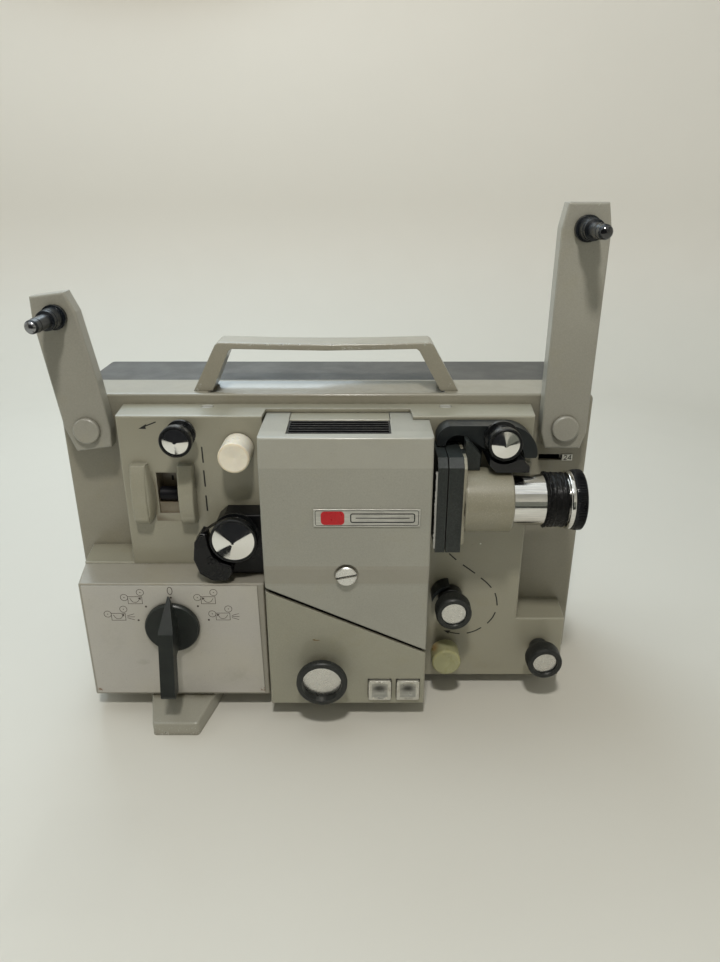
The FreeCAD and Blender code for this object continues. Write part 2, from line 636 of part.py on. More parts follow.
# ---------------------------------------------------------------- volume knob
volume = turned([(0, -72.5), (12.5, -72.5), (12.9, d["knob_front"]), (15.6, d["knob_front"]), (d["knob_radius"], -77.4), (d["knob_radius"], -73.6), (15.4, -72.8), (8.6, -63.4), (3.0, -63.2), (3.0, -46.0), (0, -46.0)])
node("volume_knob", volume, VOLUME[0], 0, VOLUME[1])
node("volume_knob_disc", turned([(0, -73.5), (12.3, -73.5), (12.3, -72.5), (0, -72.5)]), VOLUME[0], 0, VOLUME[1])

# --------------------------------------------------------------- push buttons
for label, (x, z) in zip(("left_push_button", "right_push_button"), BUTTONS):
    cap = rounded(box(x - bs, x + bs, -64.9, -58.0, z - bs, z + bs), 1.2, along("Y"))
    dish = doc.addObject("Part::Sphere", fresh("dish"))
    dish.Radius = 16.0
    place(dish, x, -64.9 - 14.4, z)
    stem = box(x - 3, x + 3, -58.5, -44.0, z - 3, z + 3)
    node(label, cut(fuse([cap, stem]), [dish]))

# -------------------------------------------------------------- selector knob
side = solid_feature(yz_prism([(-56.8, 24.5), (-72.5, 5.6), (-82.0, -35.4), (-81.3, -37.1), (-73.2, -37.1), (-68.5, -13.0), (-62.0, -11.5), (-56.8, -11.0)], -6, 6))
face = plate([(-4.7, -37.1), (4.7, -37.1), (4.7, 7.0), (0.6, 24.5), (-0.6, 24.5), (-4.7, 7.0)], 40.0)
place(face, 0, -50, 0)
lever = common(side, face)
skirt = turned([(0, -57.2), (17.0, -57.2), (17.8, -56.4), (17.8, -53.8), (4.0, -53.8), (4.0, -36.0), (0, -36.0)])
node("selector_knob", fuse([lever, skirt]), SELECTOR[0], 0, SELECTOR[1])

# ------------------------------------------------------------------ reel arms
def arm(shape, reach, inner_left, inner_right):
    b = plate(shape, d["arm_thick"], [(0, 0, d["pivot_radius"] + d["run_gap"]), (0, reach, 3.0 + d["run_gap"])])
    hollow = pocket(
        b,
        [(inner_left, 13.0), (inner_right, 13.0), (inner_right, reach - 10.5), (inner_left, reach - 10.5)],
        d["arm_thick"] - 2.6,
    )
    return rounded(hollow, 1.4, lambda p, q: p.y < -9.9 and q.y < -9.9 and not (abs(p.x) < 5 and abs(q.x) < 5))


h = d["arm_half"]
lar, rar = d["left_arm_reach"], d["right_arm_reach"]
left = arm([(-h, 3.5), (-10.5, -13.2), (12.3, -13.2), (h, -2.0), (h, 30.0), (12.6, 73.0), (8.9, 85.5), (-12.4, 85.5), (-h, lar)], lar, -h + 2.6, 9.8)
LEAN = FreeCAD.Rotation(V(0, 1, 0), -7.3)
node("left_arm", left, LEFT_PIVOT[0], d["arm_back"], LEFT_PIVOT[1], LEAN)
right = arm([(-h, -3.6), (-11.2, -14.0), (11.2, -14.0), (h, -3.6), (h, rar), (11.7, 134.0), (-11.7, 134.0), (-h, rar)], rar, -h + 2.6, h - 2.6)
node("right_arm", right, RIGHT_PIVOT[0], d["arm_back"], RIGHT_PIVOT[1])

pins = []
for x, z in (LEFT_PIVOT, RIGHT_PIVOT):
    cap = turned([(0, -23.4), (7.6, -23.4), (8.35, -22.7), (8.35, -20.3), (d["pivot_radius"], -20.3), (d["pivot_radius"], 6.0), (0, 6.0)])
    place(cap, x, 0, z)
    pins.append(cap)
node("arm_pivot_bolts", group(pins))


def spindle():
    core = turned([
        (0, -55.0), (3.2, -55.0), (4.0, -53.6), (4.0, -49.2), (4.25, -48.6), (4.25, -35.6), (5.9, -35.0), (5.9, -32.4), (d["spindle_seat"], -32.0),
        (d["spindle_seat"], -23.6), (7.5, -23.4), (7.5, -20.4), (3.0, -20.4), (3.0, -9.4), (5.5, -9.4), (5.5, -8.0), (0, -8.0),
    ])
    return core


left_tip = (LEFT_PIVOT[0] - 72.0 * math.sin(math.radians(7.3)), LEFT_PIVOT[1] + 72.0 * math.cos(math.radians(7.3)))
node("take_up_spindle", spindle(), left_tip[0], 0, left_tip[1])
node("supply_spindle", spindle(), RIGHT_PIVOT[0], 0, RIGHT_PIVOT[1] + d["right_arm_reach"])

# --------------------------------------------------------------- film rollers
snub = turned([(0, -50.2), (8.1, -50.2), (8.3, -52.0), (9.3, -52.0), (9.85, -51.4), (9.85, -47.6), (7.0, -46.6), (7.0, -38.8), (9.2, -37.8), (9.2, -35.8), (6.2, -35.4), (6.2, -27.5), (d["shaft_radius"], -27.5), (d["shaft_radius"], -16.0), (0, -16.0)])
node("snubber_roller", snub, SNUBBER[0], 0, SNUBBER[1])
node("snubber_cap", turned([(0, -53.7), (7.9, -51.5), (7.9, -50.2), (0, -50.2)]), SNUBBER[0], 0, SNUBBER[1])

white = [(0, -46.2), (8.6, -47.2), (9.4, -46.8), (d["roller_radius"], -46.2), (d["roller_radius"], -28.0), (9.0, -27.4), (d["shaft_radius"], -27.4), (d["shaft_radius"], -16.0), (0, -16.0)]
node("upper_white_roller", turned(white), WHITE_TOP[0], 0, WHITE_TOP[1])
white_low = white[:4] + [(d["roller_radius"], -33.5), (9.2, -33.0), (4.6, -32.8), (4.6, -27.4)] + white[6:]
node("lower_white_roller", turned(white_low), WHITE_LOW[0], 0, WHITE_LOW[1])

# ------------------------------------------------------------ driven sprockets
up = turned([(0, -55.2), (8.4, -55.2), (8.7, -57.0), (9.6, -57.0), (10.2, -56.4), (10.2, -52.6), (8.2, -52.0), (8.2, -44.0), (10.4, -43.2), (10.4, -40.8), (3.0, -40.5), (3.0, -27.5), (d["shaft_radius"], -27.3), (d["shaft_radius"], 8.0), (0, 8.0)])
node("upper_sprocket", up, SPROCKET_TOP[0], 0, SPROCKET_TOP[1])
node("upper_sprocket_cap", turned([(0, -58.7), (8.3, -56.5), (8.3, -55.2), (0, -55.2)]), SPROCKET_TOP[0], 0, SPROCKET_TOP[1])
low = turned([(0, -50.2), (8.1, -50.2), (8.5, -53.0), (10.7, -53.0), (11.5, -52.3), (d["small_knob_radius"], -43.0), (8.0, -42.0), (8.0, -35.6), (8.6, -35.0), (8.6, -28.0), (d["shaft_radius"], -27.5), (d["shaft_radius"], 8.0), (0, 8.0)])
node("lower_sprocket", low, SPROCKET_LOW[0], 0, SPROCKET_LOW[1])
node("lower_sprocket_disc", turned([(0, -51.2), (7.9, -51.2), (7.9, -50.2), (0, -50.2)]), SPROCKET_LOW[0], 0, SPROCKET_LOW[1])


def around(radius, degrees, y):
    t = math.radians(degrees)
    return V(SPROCKET_LOW[0] + radius * math.cos(t), y, SPROCKET_LOW[1] + radius * math.sin(t))


crescent = Part.Face(Part.Wire([
    Part.Arc(around(13.2, 98, -38.5), around(14.0, 137, -38.5), around(13.2, 176, -38.5)).toShape(),
    Part.Arc(around(13.2, 176, -38.5), around(12.1, 137, -38.5), around(13.2, 98, -38.5)).toShape(),
])).extrude(V(0, 11.5, 0))
node("lower_sprocket_guard", solid_feature(crescent))

# ------------------------------------------------------------------ sound head
head = plate(
    [(-91.6, 106.0), (-89.0, 103.2), (-60.4, 103.2), (-60.4, 145.0), (-86.0, 145.0), (-91.6, 140.0)],
    16.0,
    [(DRUM[0], DRUM[1], 3.05), (PRESSER[0], PRESSER[1], d["shaft_radius"] + d["run_gap"])],
)
head_soft = rounded(head, 1.0, lambda a, b: a.y < -15.9 and b.y < -15.9 and abs(a.x) > 60)
node("sound_head_block", head_soft, 0, d["deck_front"], 0)
drum = turned([(0, -53.2), (13.4, -53.2), (13.6, -55.0), (14.6, -55.0), (15.0, -54.4), (15.0, -50.5), (12.4, -49.8), (12.4, -45.2), (14.6, -44.6), (14.6, -43.5), (3.0, -43.5), (3.0, -17.0), (17.0, -17.0), (17.0, -11.0), (0, -11.0)])
node("sound_drum", drum, DRUM[0], 0, DRUM[1])
node("sound_drum_cap", turned([(0, -57.9), (13.2, -54.5), (13.2, -53.2), (0, -53.2)]), DRUM[0], 0, DRUM[1])
presser = plate(
    [(-104.0, 131.0), (-99.5, 137.5), (-96.4, 137.0), (-95.4, 129.0), (-93.4, 122.0), (-88.6, 117.0), (-82.0, 114.6), (-81.0, 110.0), (-84.5, 104.2), (-94.0, 103.6), (-102.0, 108.5), (-105.4, 119.0)],
    11.0,
)
press_soft = rounded(presser, 1.0, lambda a, b: a.y < -10.9 and b.y < -10.9)
press_pin = rod("Y", PRESSER[0], -1, PRESSER[1], d["shaft_radius"], 30)
node("pressure_arm", fuse([press_soft, press_pin]), 0, -43.4, 0)

# --------------------------------------------------------------- framing wheel
wheel = rounded(rod("X", -130.4, WHEEL[0], WHEEL[1], 4.6, 11.8), 0.6, lambda a, b: True)
node("framing_wheel", fuse([wheel, rod("X", -134.5, WHEEL[0], WHEEL[1], 1.5, 20.0)]))

# ------------------------------------------------------------- gate and lens
oy, oz = d["optic_y"], d["optic_z"]
gate_hole = box(40, 70, oy - 3.5, oy + 3.5, oz - 3.0, oz + 3.0)


def slab(x0, x1, y_back):
    return solid_feature(yz_prism([(y_back, 129.2), (y_back, 189.6), (-57.5, 189.6), (-63.0, 184.8), (-63.0, 129.2)], x0, x1))


gate_rods = [rod("X", 50.0, -32.5, z, 1.5, 21.0) for z in (134.6, 180.4)]
rod_bores = [rod("X", 45.0, -32.5, z, 1.55, 30.0) for z in (134.6, 180.4)]
node("gate_plate", fuse([cut(slab(46.0, 51.9, -27.0), [gate_hole])] + gate_rods))
release = plate([(61.0, 180.6), (63.6, 180.6), (63.6, 178.6), (72.6, 178.6), (72.6, 188.5), (65.0, 197.0), (63.4, 197.0), (63.4, 189.0), (61.0, 189.0)], 9.0)
place(release, 0, -41.0, 0)
pressure = cut(fuse([slab(52.5, 61.5, -28.2), release]), [box(40, 70, oy - 3.5, oy + 3.5, oz - 3.0, oz + 3.0), rod("X", 56, oy, oz, 11.0, 8)] + rod_bores)
node("gate_pressure_plate", pressure)
rim_side = [(-28.2, 134.8), (-28.2, 189.4), (-57.6, 189.4), (-63.2, 184.5), (-63.2, 134.8)]
rim = cut(solid_feature(yz_prism(rim_side, 61.5, 63.3)), [box(61, 64, -50.3, -40.7, 180.3, 190)] + rod_bores)
tube = turned([(d["carrier_radius"], 1.2), (d["carrier_radius"], 28.4), (d["carrier_radius"] - 0.8, 29.2), (d["lens_radius"] + d["run_gap"], 29.2), (d["lens_radius"] + d["run_gap"], 0), (d["carrier_radius"] - 0.5, 0)])
place(tube, 63.0, oy, oz, TO_X)
carrier = fuse([cut(rim, [rod("X", 60, oy, oz, 14.4, 8), rod("X", 62.8, oy, oz, d["lens_radius"] + d["run_gap"], 4)]), tube])
node("lens_carrier", carrier)
barrel = turned([(d["lens_radius"], -2.0), (d["lens_radius"], 59.0), (12.6, 59.0), (12.6, 52.4), (11.8, 52.4), (11.8, 3.0), (12.4, 3.0), (12.4, -2.0)])
node("lens_barrel", barrel, 68.0, oy, oz, TO_X)
band = turned([(d["lens_radius"] + 0.03, 0), (16.4, 0), (17.7, 1.6), (17.7, 12.4), (16.6, 13.6), (d["lens_radius"] + 0.03, 13.6)])
node("lens_grip_band", band, 112.2, oy, oz, TO_X)
ring = turned([(d["lens_radius"] + d["run_gap"], 0), (17.6, 0), (18.2, 0.5), (18.2, 3.0), (18.6, 3.6), (18.6, 9.5), (17.9, 10.2), (13.4, 10.2), (13.4, 2.6), (d["lens_radius"] + d["run_gap"], 1.3)])
node("zoom_ring", ring, 126.2, oy, oz, TO_X)
front_glass = turned([(0, 4.2), (6.5, 3.7), (12.55, 2.2), (12.55, 0), (0, 0)])
place(front_glass, 120.6, oy, oz, TO_X)
rear_glass = turned([(0, 3.0), (11.7, 3.0), (11.7, 1.4), (6.0, 0.4), (0, 0)])
place(rear_glass, 72.0, oy, oz, TO_X)
node("lens_glass", group([front_glass, rear_glass]))

# --------------------------------------------------------------- film guides
def bow(a, b, c):
    return Part.Arc(V(a[0], -40.0, a[1]), V(b[0], -40.0, b[1]), V(c[0], -40.0, c[1])).toShape()


def run(a, b):
    return Part.makeLine(V(a[0], -40.0, a[1]), V(b[0], -40.0, b[1]))


guide_edges = [
    run((54.5, 203.3), (90.0, 203.3)),
    bow((90.0, 203.3), (104.0, 197.4), (109.4, 184.0)),
    run((109.4, 184.0), (108.6, 182.6)),
    run((108.6, 182.6), (101.6, 182.6)),
    bow((101.6, 182.6), (98.0, 190.4), (91.0, 194.0)),
    run((91.0, 194.0), (83.0, 194.0)),
    run((83.0, 194.0), (77.4, 188.2)),
    run((77.4, 188.2), (64.8, 196.0)),
    bow((64.8, 196.0), (57.2, 196.8), (52.2, 190.5)),
    run((52.2, 190.5), (47.4, 190.5)),
    bow((47.4, 190.5), (48.9, 199.4), (54.5, 203.3)),
]
guide = Part.Face(Part.Wire(guide_edges)).extrude(V(0, 13.0, 0))
backing = Part.Face(Part.makePolygon([V(x, -28.0, z) for x, z in ((52.6, 167.0), (77.0, 167.0), (77.0, 189.6), (65.0, 197.2), (52.6, 197.2), (52.6, 167.0))])).extrude(V(0, 1.0, 0))
guide = guide.fuse(backing).removeSplitter().cut(hole_y(*SPROCKET_TOP, 3.4, -45, 30))
node("film_inlet_guide", solid_feature(guide))
shoe_profile = Part.Face(Part.makePolygon([V(77.2, -56.5, 187.6), V(77.2, -56.5, 183.6), V(81.5, -56.5, 179.5), V(100.6, -56.5, 179.5), V(101.2, -56.5, 180.2), V(101.2, -56.5, 183.2), V(97.2, -56.5, 187.6), V(77.2, -56.5, 187.6)])).extrude(V(0, 29.5, 0))
shoe_cut = Part.makeCylinder(12.0, 40, V(SPROCKET_TOP[0], -60, SPROCKET_TOP[1]), V(0, 1, 0))
node("guide_shoe", solid_feature(shoe_profile.cut(shoe_cut)))

# --------------------------------------------------------------- speed slider
slider = fuse([box(136.1, 143.1, -1.2, -0.2, 166.2, 170.5), box(136.6, 142.6, -0.4, 3.6, 166.6, 170.0), box(135.6, 143.3, 3.3, 5.0, 163.0, 173.0)])
node("speed_slider", slider)

# ----------------------------------------------------------- drive mechanism
rotor = fuse([
    rod("X", -126, MOTOR[0], MOTOR[1], 2.5, 84),
    rod("X", -54, MOTOR[0], MOTOR[1], 6.0, 12),
    rod("X", -126, MOTOR[0], MOTOR[1], 7.0, 8),
] + [box(-125.0, -119.0, MOTOR[0] - 22, MOTOR[0] + 22, MOTOR[1] - 0.8, MOTOR[1] + 0.8), box(-125.0, -119.0, MOTOR[0] - 0.8, MOTOR[0] + 0.8, MOTOR[1] - 22, MOTOR[1] + 22)])
node("motor_shaft_and_fan", rotor)
motor = cut(
    fuse([rod("X", -112, MOTOR[0], MOTOR[1], 24.0, 52), rod("X", -60, MOTOR[0], MOTOR[1], 7.0, 3), box(-108, -64, MOTOR[0] + 14, 45, MOTOR[1] - 20, MOTOR[1] + 20)]),
    [rod("X", -120, MOTOR[0], MOTOR[1], 2.55, 70)],
)
node("drive_motor", motor)
shaft_set = fuse([
    rod("X", -56, SHUTTER[0], SHUTTER[1], 3.0, 96),
    rod("X", -51, SHUTTER[0], SHUTTER[1], 29.9, 6),
    rod("X", 33, SHUTTER[0], SHUTTER[1], 8.0, 6),
    cut(rod("X", 36.5, SHUTTER[0], SHUTTER[1], 41.5, 1.2), [box(36, 38, SHUTTER[0] - 50, SHUTTER[0] + 50, SHUTTER[1] + 9, SHUTTER[1] + 50), box(36, 38, SHUTTER[0] - 50, SHUTTER[0] + 50, SHUTTER[1] - 50, SHUTTER[1] - 20)]),
])
node("main_shaft_and_shutter", shaft_set)

# ------------------------------------------------------------------ lamp unit
bowl = turned([(4.0, 0), (9.0, 2.5), (12.6, 8.0), (13.6, 16.0), (12.8, 16.0), (11.8, 8.8), (8.4, 3.6), (4.0, 1.2)])
place(bowl, -20.0, oy, oz, TO_X)
socket_block = box(-34, -24, oy - 9, oy + 9, oz - 6, oz + 6)
socket_post = box(-38, -30, -39.5, -8.0, 158, 166)
reflector = fuse([bowl, cut(fuse([socket_block, socket_post, box(-24.5, -19.5, oy - 6, oy + 6, oz - 6, oz + 6)]), [rod("X", -30, oy, oz, 4.0, 30)])])
node("lamp_reflector", reflector)
bulb = turned([(0, 0), (3.9, 0), (3.9, 11.6), (5.2, 14.0), (5.2, 20.0), (3.5, 22.6), (0, 23.2)])
node("lamp_bulb", bulb, -29.5, oy, oz, TO_X)

# --------------------------------------------------------- electrical fittings
core = box(-168, -112, 40, 68, 20, 66)
coil = box(-160, -120, 36, 72, 27, 59)
node("transformer", fuse([core, coil]))
board = [box(-66, 16, 58, 59.6, 60, 196)]
board += [box(-60, -40, 50, 58, 170, 190), rod("Y", -20, 46, 180, 8, 12), rod("Y", 2, 48, 180, 6, 10), box(-58, 8, 44, 58, 70, 74), box(-58, 8, 44, 58, 80, 84), rod("Y", -50, 50, 140, 4, 8), rod("Y", -36, 50, 140, 4, 8), rod("Y", -10, 50, 150, 5, 8)]
board += [box(-58, 8, 57, 58, 66, 88)]
node("amplifier_board", fuse(board))
speaker = fuse([rod("Y", 70, 86, 128, 40, 5.9), cone("Y", 70, 68, 128, 17, 38, 18.2), rod("Y", 70, 54, 128, 19, 14.5)])
node("loudspeaker", speaker)

inlet = cut(
    fuse([box(-150 - 12.8, -150 + 12.8, 76, 94.0, 32.2, 47.8), box(-150 - 16, -150 + 16, 89.0, 92.0, 29, 51)]),
    [box(-150 - 10, -150 + 10, 80, 96, 35, 45)],
)
inlet_pins = [rod("Y", -150 - 5, 79, 40, 2.0, 8.5), rod("Y", -150 + 5, 79, 40, 2.0, 8.5)]
node("mains_inlet", fuse([inlet] + inlet_pins))
plate_back = box(-111.7, -44.3, 90.6, 93.6, 29.3, 50.7)
flange = box(-114, -42, 89.0, 92.0, 27, 53)
sockets = []
for x in (-102.0, -84.0, -66.0, -51.5):
    sockets.append(rod("Y", x, 91.4, 40, 6.2, 4))
node("socket_plate", cut(fuse([plate_back, flange]), sockets))

# ----------------------------------------------------------------- check, write
doc.recompute()
bad = []
for o in doc.Objects:
    if any(s in ("Invalid", "Error") for s in o.State):
        bad.append("%s (%s): %s" % (o.Label, o.Name, o.State))
for label, o in nodes:
    s = o.Shape
    if s.isNull() or not s.isValid() or not s.Solids:
        bad.append("%s: bad shape" % label)
if bad:
    raise RuntimeError("; ".join(bad))
whole = FreeCAD.BoundBox()
for label, o in nodes:
    whole.add(o.Shape.BoundBox)
    o.Shape.exportStep("parts/%s.step" % label)
print("nodes", len(nodes), len(set(n for n, _ in nodes)))
print("box x %.3f %.3f  y %.3f %.3f  z %.3f %.3f" % (whole.XMin, whole.XMax, whole.YMin, whole.YMax, whole.ZMin, whole.ZMax))
for label, o in nodes:
    b = o.Shape.BoundBox
    print("%-26s solids %d vol %9.0f  x %7.1f %7.1f  y %6.1f %6.1f  z %6.1f %6.1f" % (label, len(o.Shape.Solids), o.Shape.Volume, b.XMin, b.XMax, b.YMin, b.YMax, b.ZMin, b.ZMax))
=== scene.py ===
import bpy
import bmesh
import math
import random
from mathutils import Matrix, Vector, noise as mnoise


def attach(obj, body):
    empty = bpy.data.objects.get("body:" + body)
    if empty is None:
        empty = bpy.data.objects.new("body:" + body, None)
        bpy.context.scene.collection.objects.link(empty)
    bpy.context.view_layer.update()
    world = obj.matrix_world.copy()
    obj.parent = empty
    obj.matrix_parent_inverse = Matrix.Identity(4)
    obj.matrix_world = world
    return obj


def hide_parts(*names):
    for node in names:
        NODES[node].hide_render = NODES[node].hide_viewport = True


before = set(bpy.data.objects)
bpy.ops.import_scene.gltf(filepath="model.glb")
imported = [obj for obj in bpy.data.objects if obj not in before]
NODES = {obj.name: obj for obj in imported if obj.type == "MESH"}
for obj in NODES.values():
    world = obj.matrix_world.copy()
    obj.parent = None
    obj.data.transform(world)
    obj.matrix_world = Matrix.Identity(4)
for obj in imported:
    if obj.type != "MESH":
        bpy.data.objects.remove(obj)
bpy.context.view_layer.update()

# ---------------------------------------------------------------- lengths
# The numbers below are in millimetres in the bench frame the part was drawn in; B() turns them into the row frame.
OX, OY = 22.3, -6.3


def B(x, y, z):
    return Vector(((x + OX) / 1000.0, (y + OY) / 1000.0, z / 1000.0))


def mm(v):
    return v / 1000.0


# ---------------------------------------------------------------- materials
class Mat:
    """A node material, built piece by piece. All patterns are in object space, which is the row frame at rest."""

    def __init__(self, name):
        self.m = bpy.data.materials.new(name)
        self.m.use_nodes = True
        self.t = self.m.node_tree
        self.t.nodes.clear()
        self.out = self.n("ShaderNodeOutputMaterial")
        self.b = self.n("ShaderNodeBsdfPrincipled")
        self.link(self.b.outputs[0], self.out.inputs[0])
        self.co = self.n("ShaderNodeTexCoord").outputs["Object"]

    def n(self, kind, **kw):
        node = self.t.nodes.new(kind)
        for k, v in kw.items():
            setattr(node, k, v)
        return node

    def link(self, a, b):
        self.t.links.new(a, b)

    def put(self, sock, v):
        if isinstance(v, bpy.types.NodeSocket):
            self.link(v, sock)
        elif isinstance(v, (tuple, list)) and len(v) == 3 and sock.type == "RGBA":
            sock.default_value = (*v, 1.0)
        else:
            sock.default_value = v

    def set(self, **kw):
        for k, v in kw.items():
            self.put(self.b.inputs[k.replace("_", " ")], v)
        return self

    def noise(self, scale, detail=2.0, rough=0.5, dist=0.0, co=None):
        n = self.n("ShaderNodeTexNoise")
        self.link(co or self.co, n.inputs["Vector"])
        n.inputs["Scale"].default_value = scale
        n.inputs["Detail"].default_value = detail
        n.inputs["Roughness"].default_value = rough
        n.inputs["Distortion"].default_value = dist
        return n.outputs["Fac"]

    def voronoi(self, scale, feature="F1", co=None, rnd=1.0):
        n = self.n("ShaderNodeTexVoronoi", feature=feature)
        self.link(co or self.co, n.inputs["Vector"])
        n.inputs["Scale"].default_value = scale
        n.inputs["Randomness"].default_value = rnd
        return n.outputs["Distance"]

    def stretch(self, sx, sy, sz, co=None):
        n = self.n("ShaderNodeVectorMath", operation="MULTIPLY")
        self.link(co or self.co, n.inputs[0])
        n.inputs[1].default_value = (sx, sy, sz)
        return n.outputs[0]

    def rng(self, v, a, b, c=0.0, d=1.0, smooth=True):
        n = self.n("ShaderNodeMapRange", interpolation_type="SMOOTHSTEP" if smooth else "LINEAR", clamp=True)
        self.put(n.inputs["Value"], v)
        for k, x in (("From Min", a), ("From Max", b), ("To Min", c), ("To Max", d)):
            self.put(n.inputs[k], x)
        return n.outputs["Result"]

    def math(self, op, a, b=0.0, clamp=False):
        n = self.n("ShaderNodeMath", operation=op, use_clamp=clamp)
        self.put(n.inputs[0], a)
        self.put(n.inputs[1], b)
        return n.outputs[0]

    def mix(self, f, a, b, blend="MIX"):
        n = self.n("ShaderNodeMix", data_type="RGBA", blend_type=blend)
        self.put(n.inputs[0], f)
        self.put(n.inputs[6], a)
        self.put(n.inputs[7], b)
        return n.outputs[2]

    def bump(self, height, distance, strength=1.0, normal=None):
        n = self.n("ShaderNodeBump")
        n.inputs["Strength"].default_value = strength
        n.inputs["Distance"].default_value = distance
        self.put(n.inputs["Height"], height)
        if normal is not None:
            self.link(normal, n.inputs["Normal"])
        return n.outputs[0]

    def rounded(self, radius, samples=4):
        n = self.n("ShaderNodeBevel", samples=samples)
        n.inputs["Radius"].default_value = radius
        return n.outputs[0]

    def edges(self, radius, lo, hi, samples=4):
        """1 near a sharp edge, 0 away from it."""
        geo = self.n("ShaderNodeNewGeometry").outputs["Normal"]
        d = self.n("ShaderNodeVectorMath", operation="DOT_PRODUCT")
        self.link(self.rounded(radius, samples), d.inputs[0])
        self.link(geo, d.inputs[1])
        return self.rng(self.math("SUBTRACT", 1.0, d.outputs["Value"]), lo, hi)

    def ao(self, distance, samples=4, inside=False):
        n = self.n("ShaderNodeAmbientOcclusion", samples=samples, inside=inside)
        n.inputs["Distance"].default_value = distance
        return n.outputs["AO"]

    def sep(self, co=None):
        n = self.n("ShaderNodeSeparateXYZ")
        self.link(co or self.co, n.inputs[0])
        return n.outputs

    def zone(self, centre, half, soft):
        """1 inside a box given in bench mm, falling to 0 over soft mm."""
        s = self.n("ShaderNodeVectorMath", operation="SUBTRACT")
        self.link(self.co, s.inputs[0])
        s.inputs[1].default_value = B(*centre)
        a = self.n("ShaderNodeVectorMath", operation="ABSOLUTE")
        self.link(s.outputs[0], a.inputs[0])
        h = self.n("ShaderNodeVectorMath", operation="SUBTRACT")
        self.link(a.outputs[0], h.inputs[0])
        h.inputs[1].default_value = tuple(mm(x) for x in half)
        x, y, z = self.sep(h.outputs[0])
        return self.rng(self.math("MAXIMUM", self.math("MAXIMUM", x, y), z), 0.0, mm(soft), 1.0, 0.0)

    def blob(self, centre, radii, soft=0.5):
        """1 at the middle of an ellipsoid given in bench mm, 0 outside it."""
        s = self.n("ShaderNodeVectorMath", operation="SUBTRACT")
        self.link(self.co, s.inputs[0])
        s.inputs[1].default_value = B(*centre)
        d = self.n("ShaderNodeVectorMath", operation="DIVIDE")
        self.link(s.outputs[0], d.inputs[0])
        d.inputs[1].default_value = tuple(mm(x) for x in radii)
        ln = self.n("ShaderNodeVectorMath", operation="LENGTH")
        self.link(d.outputs[0], ln.inputs[0])
        return self.rng(ln.outputs["Value"], 1.0 - soft, 1.0, 1.0, 0.0)

    def radius(self, centre, axis="Y"):
        """Distance in metres from an axis through a bench point."""
        s = self.n("ShaderNodeVectorMath", operation="SUBTRACT")
        self.link(self.co, s.inputs[0])
        s.inputs[1].default_value = B(*centre)
        m = self.n("ShaderNodeVectorMath", operation="MULTIPLY")
        self.link(s.outputs[0], m.inputs[0])
        m.inputs[1].default_value = (0, 1, 1) if axis == "X" else (1, 0, 1)
        ln = self.n("ShaderNodeVectorMath", operation="LENGTH")
        self.link(m.outputs[0], ln.inputs[0])
        return ln.outputs["Value"]

    def tangent(self, axis="Y"):
        n = self.n("ShaderNodeTangent", direction_type="RADIAL", axis=axis)
        self.link(n.outputs[0], self.b.inputs["Tangent"])


def lin(r, g, b):
    """sRGB 0-255 to linear."""
    f = lambda c: c / 12.92 if c <= 0.04045 else ((c + 0.055) / 1.055) ** 2.4
    return tuple(f(x / 255.0) for x in (r, g, b))


def tint(c, k):
    return tuple(min(1.0, x * k) for x in c)


PAINT = (0.302, 0.298, 0.258)
PAINT_DECK = (0.284, 0.271, 0.210)
PAINT_BOX = (0.312, 0.294, 0.248)
SHADE_AND_DIRT = (0.105, 0.090, 0.055)
PRIMER_AND_EDGE_HIGHLIGHT = (0.60, 0.59, 0.54)


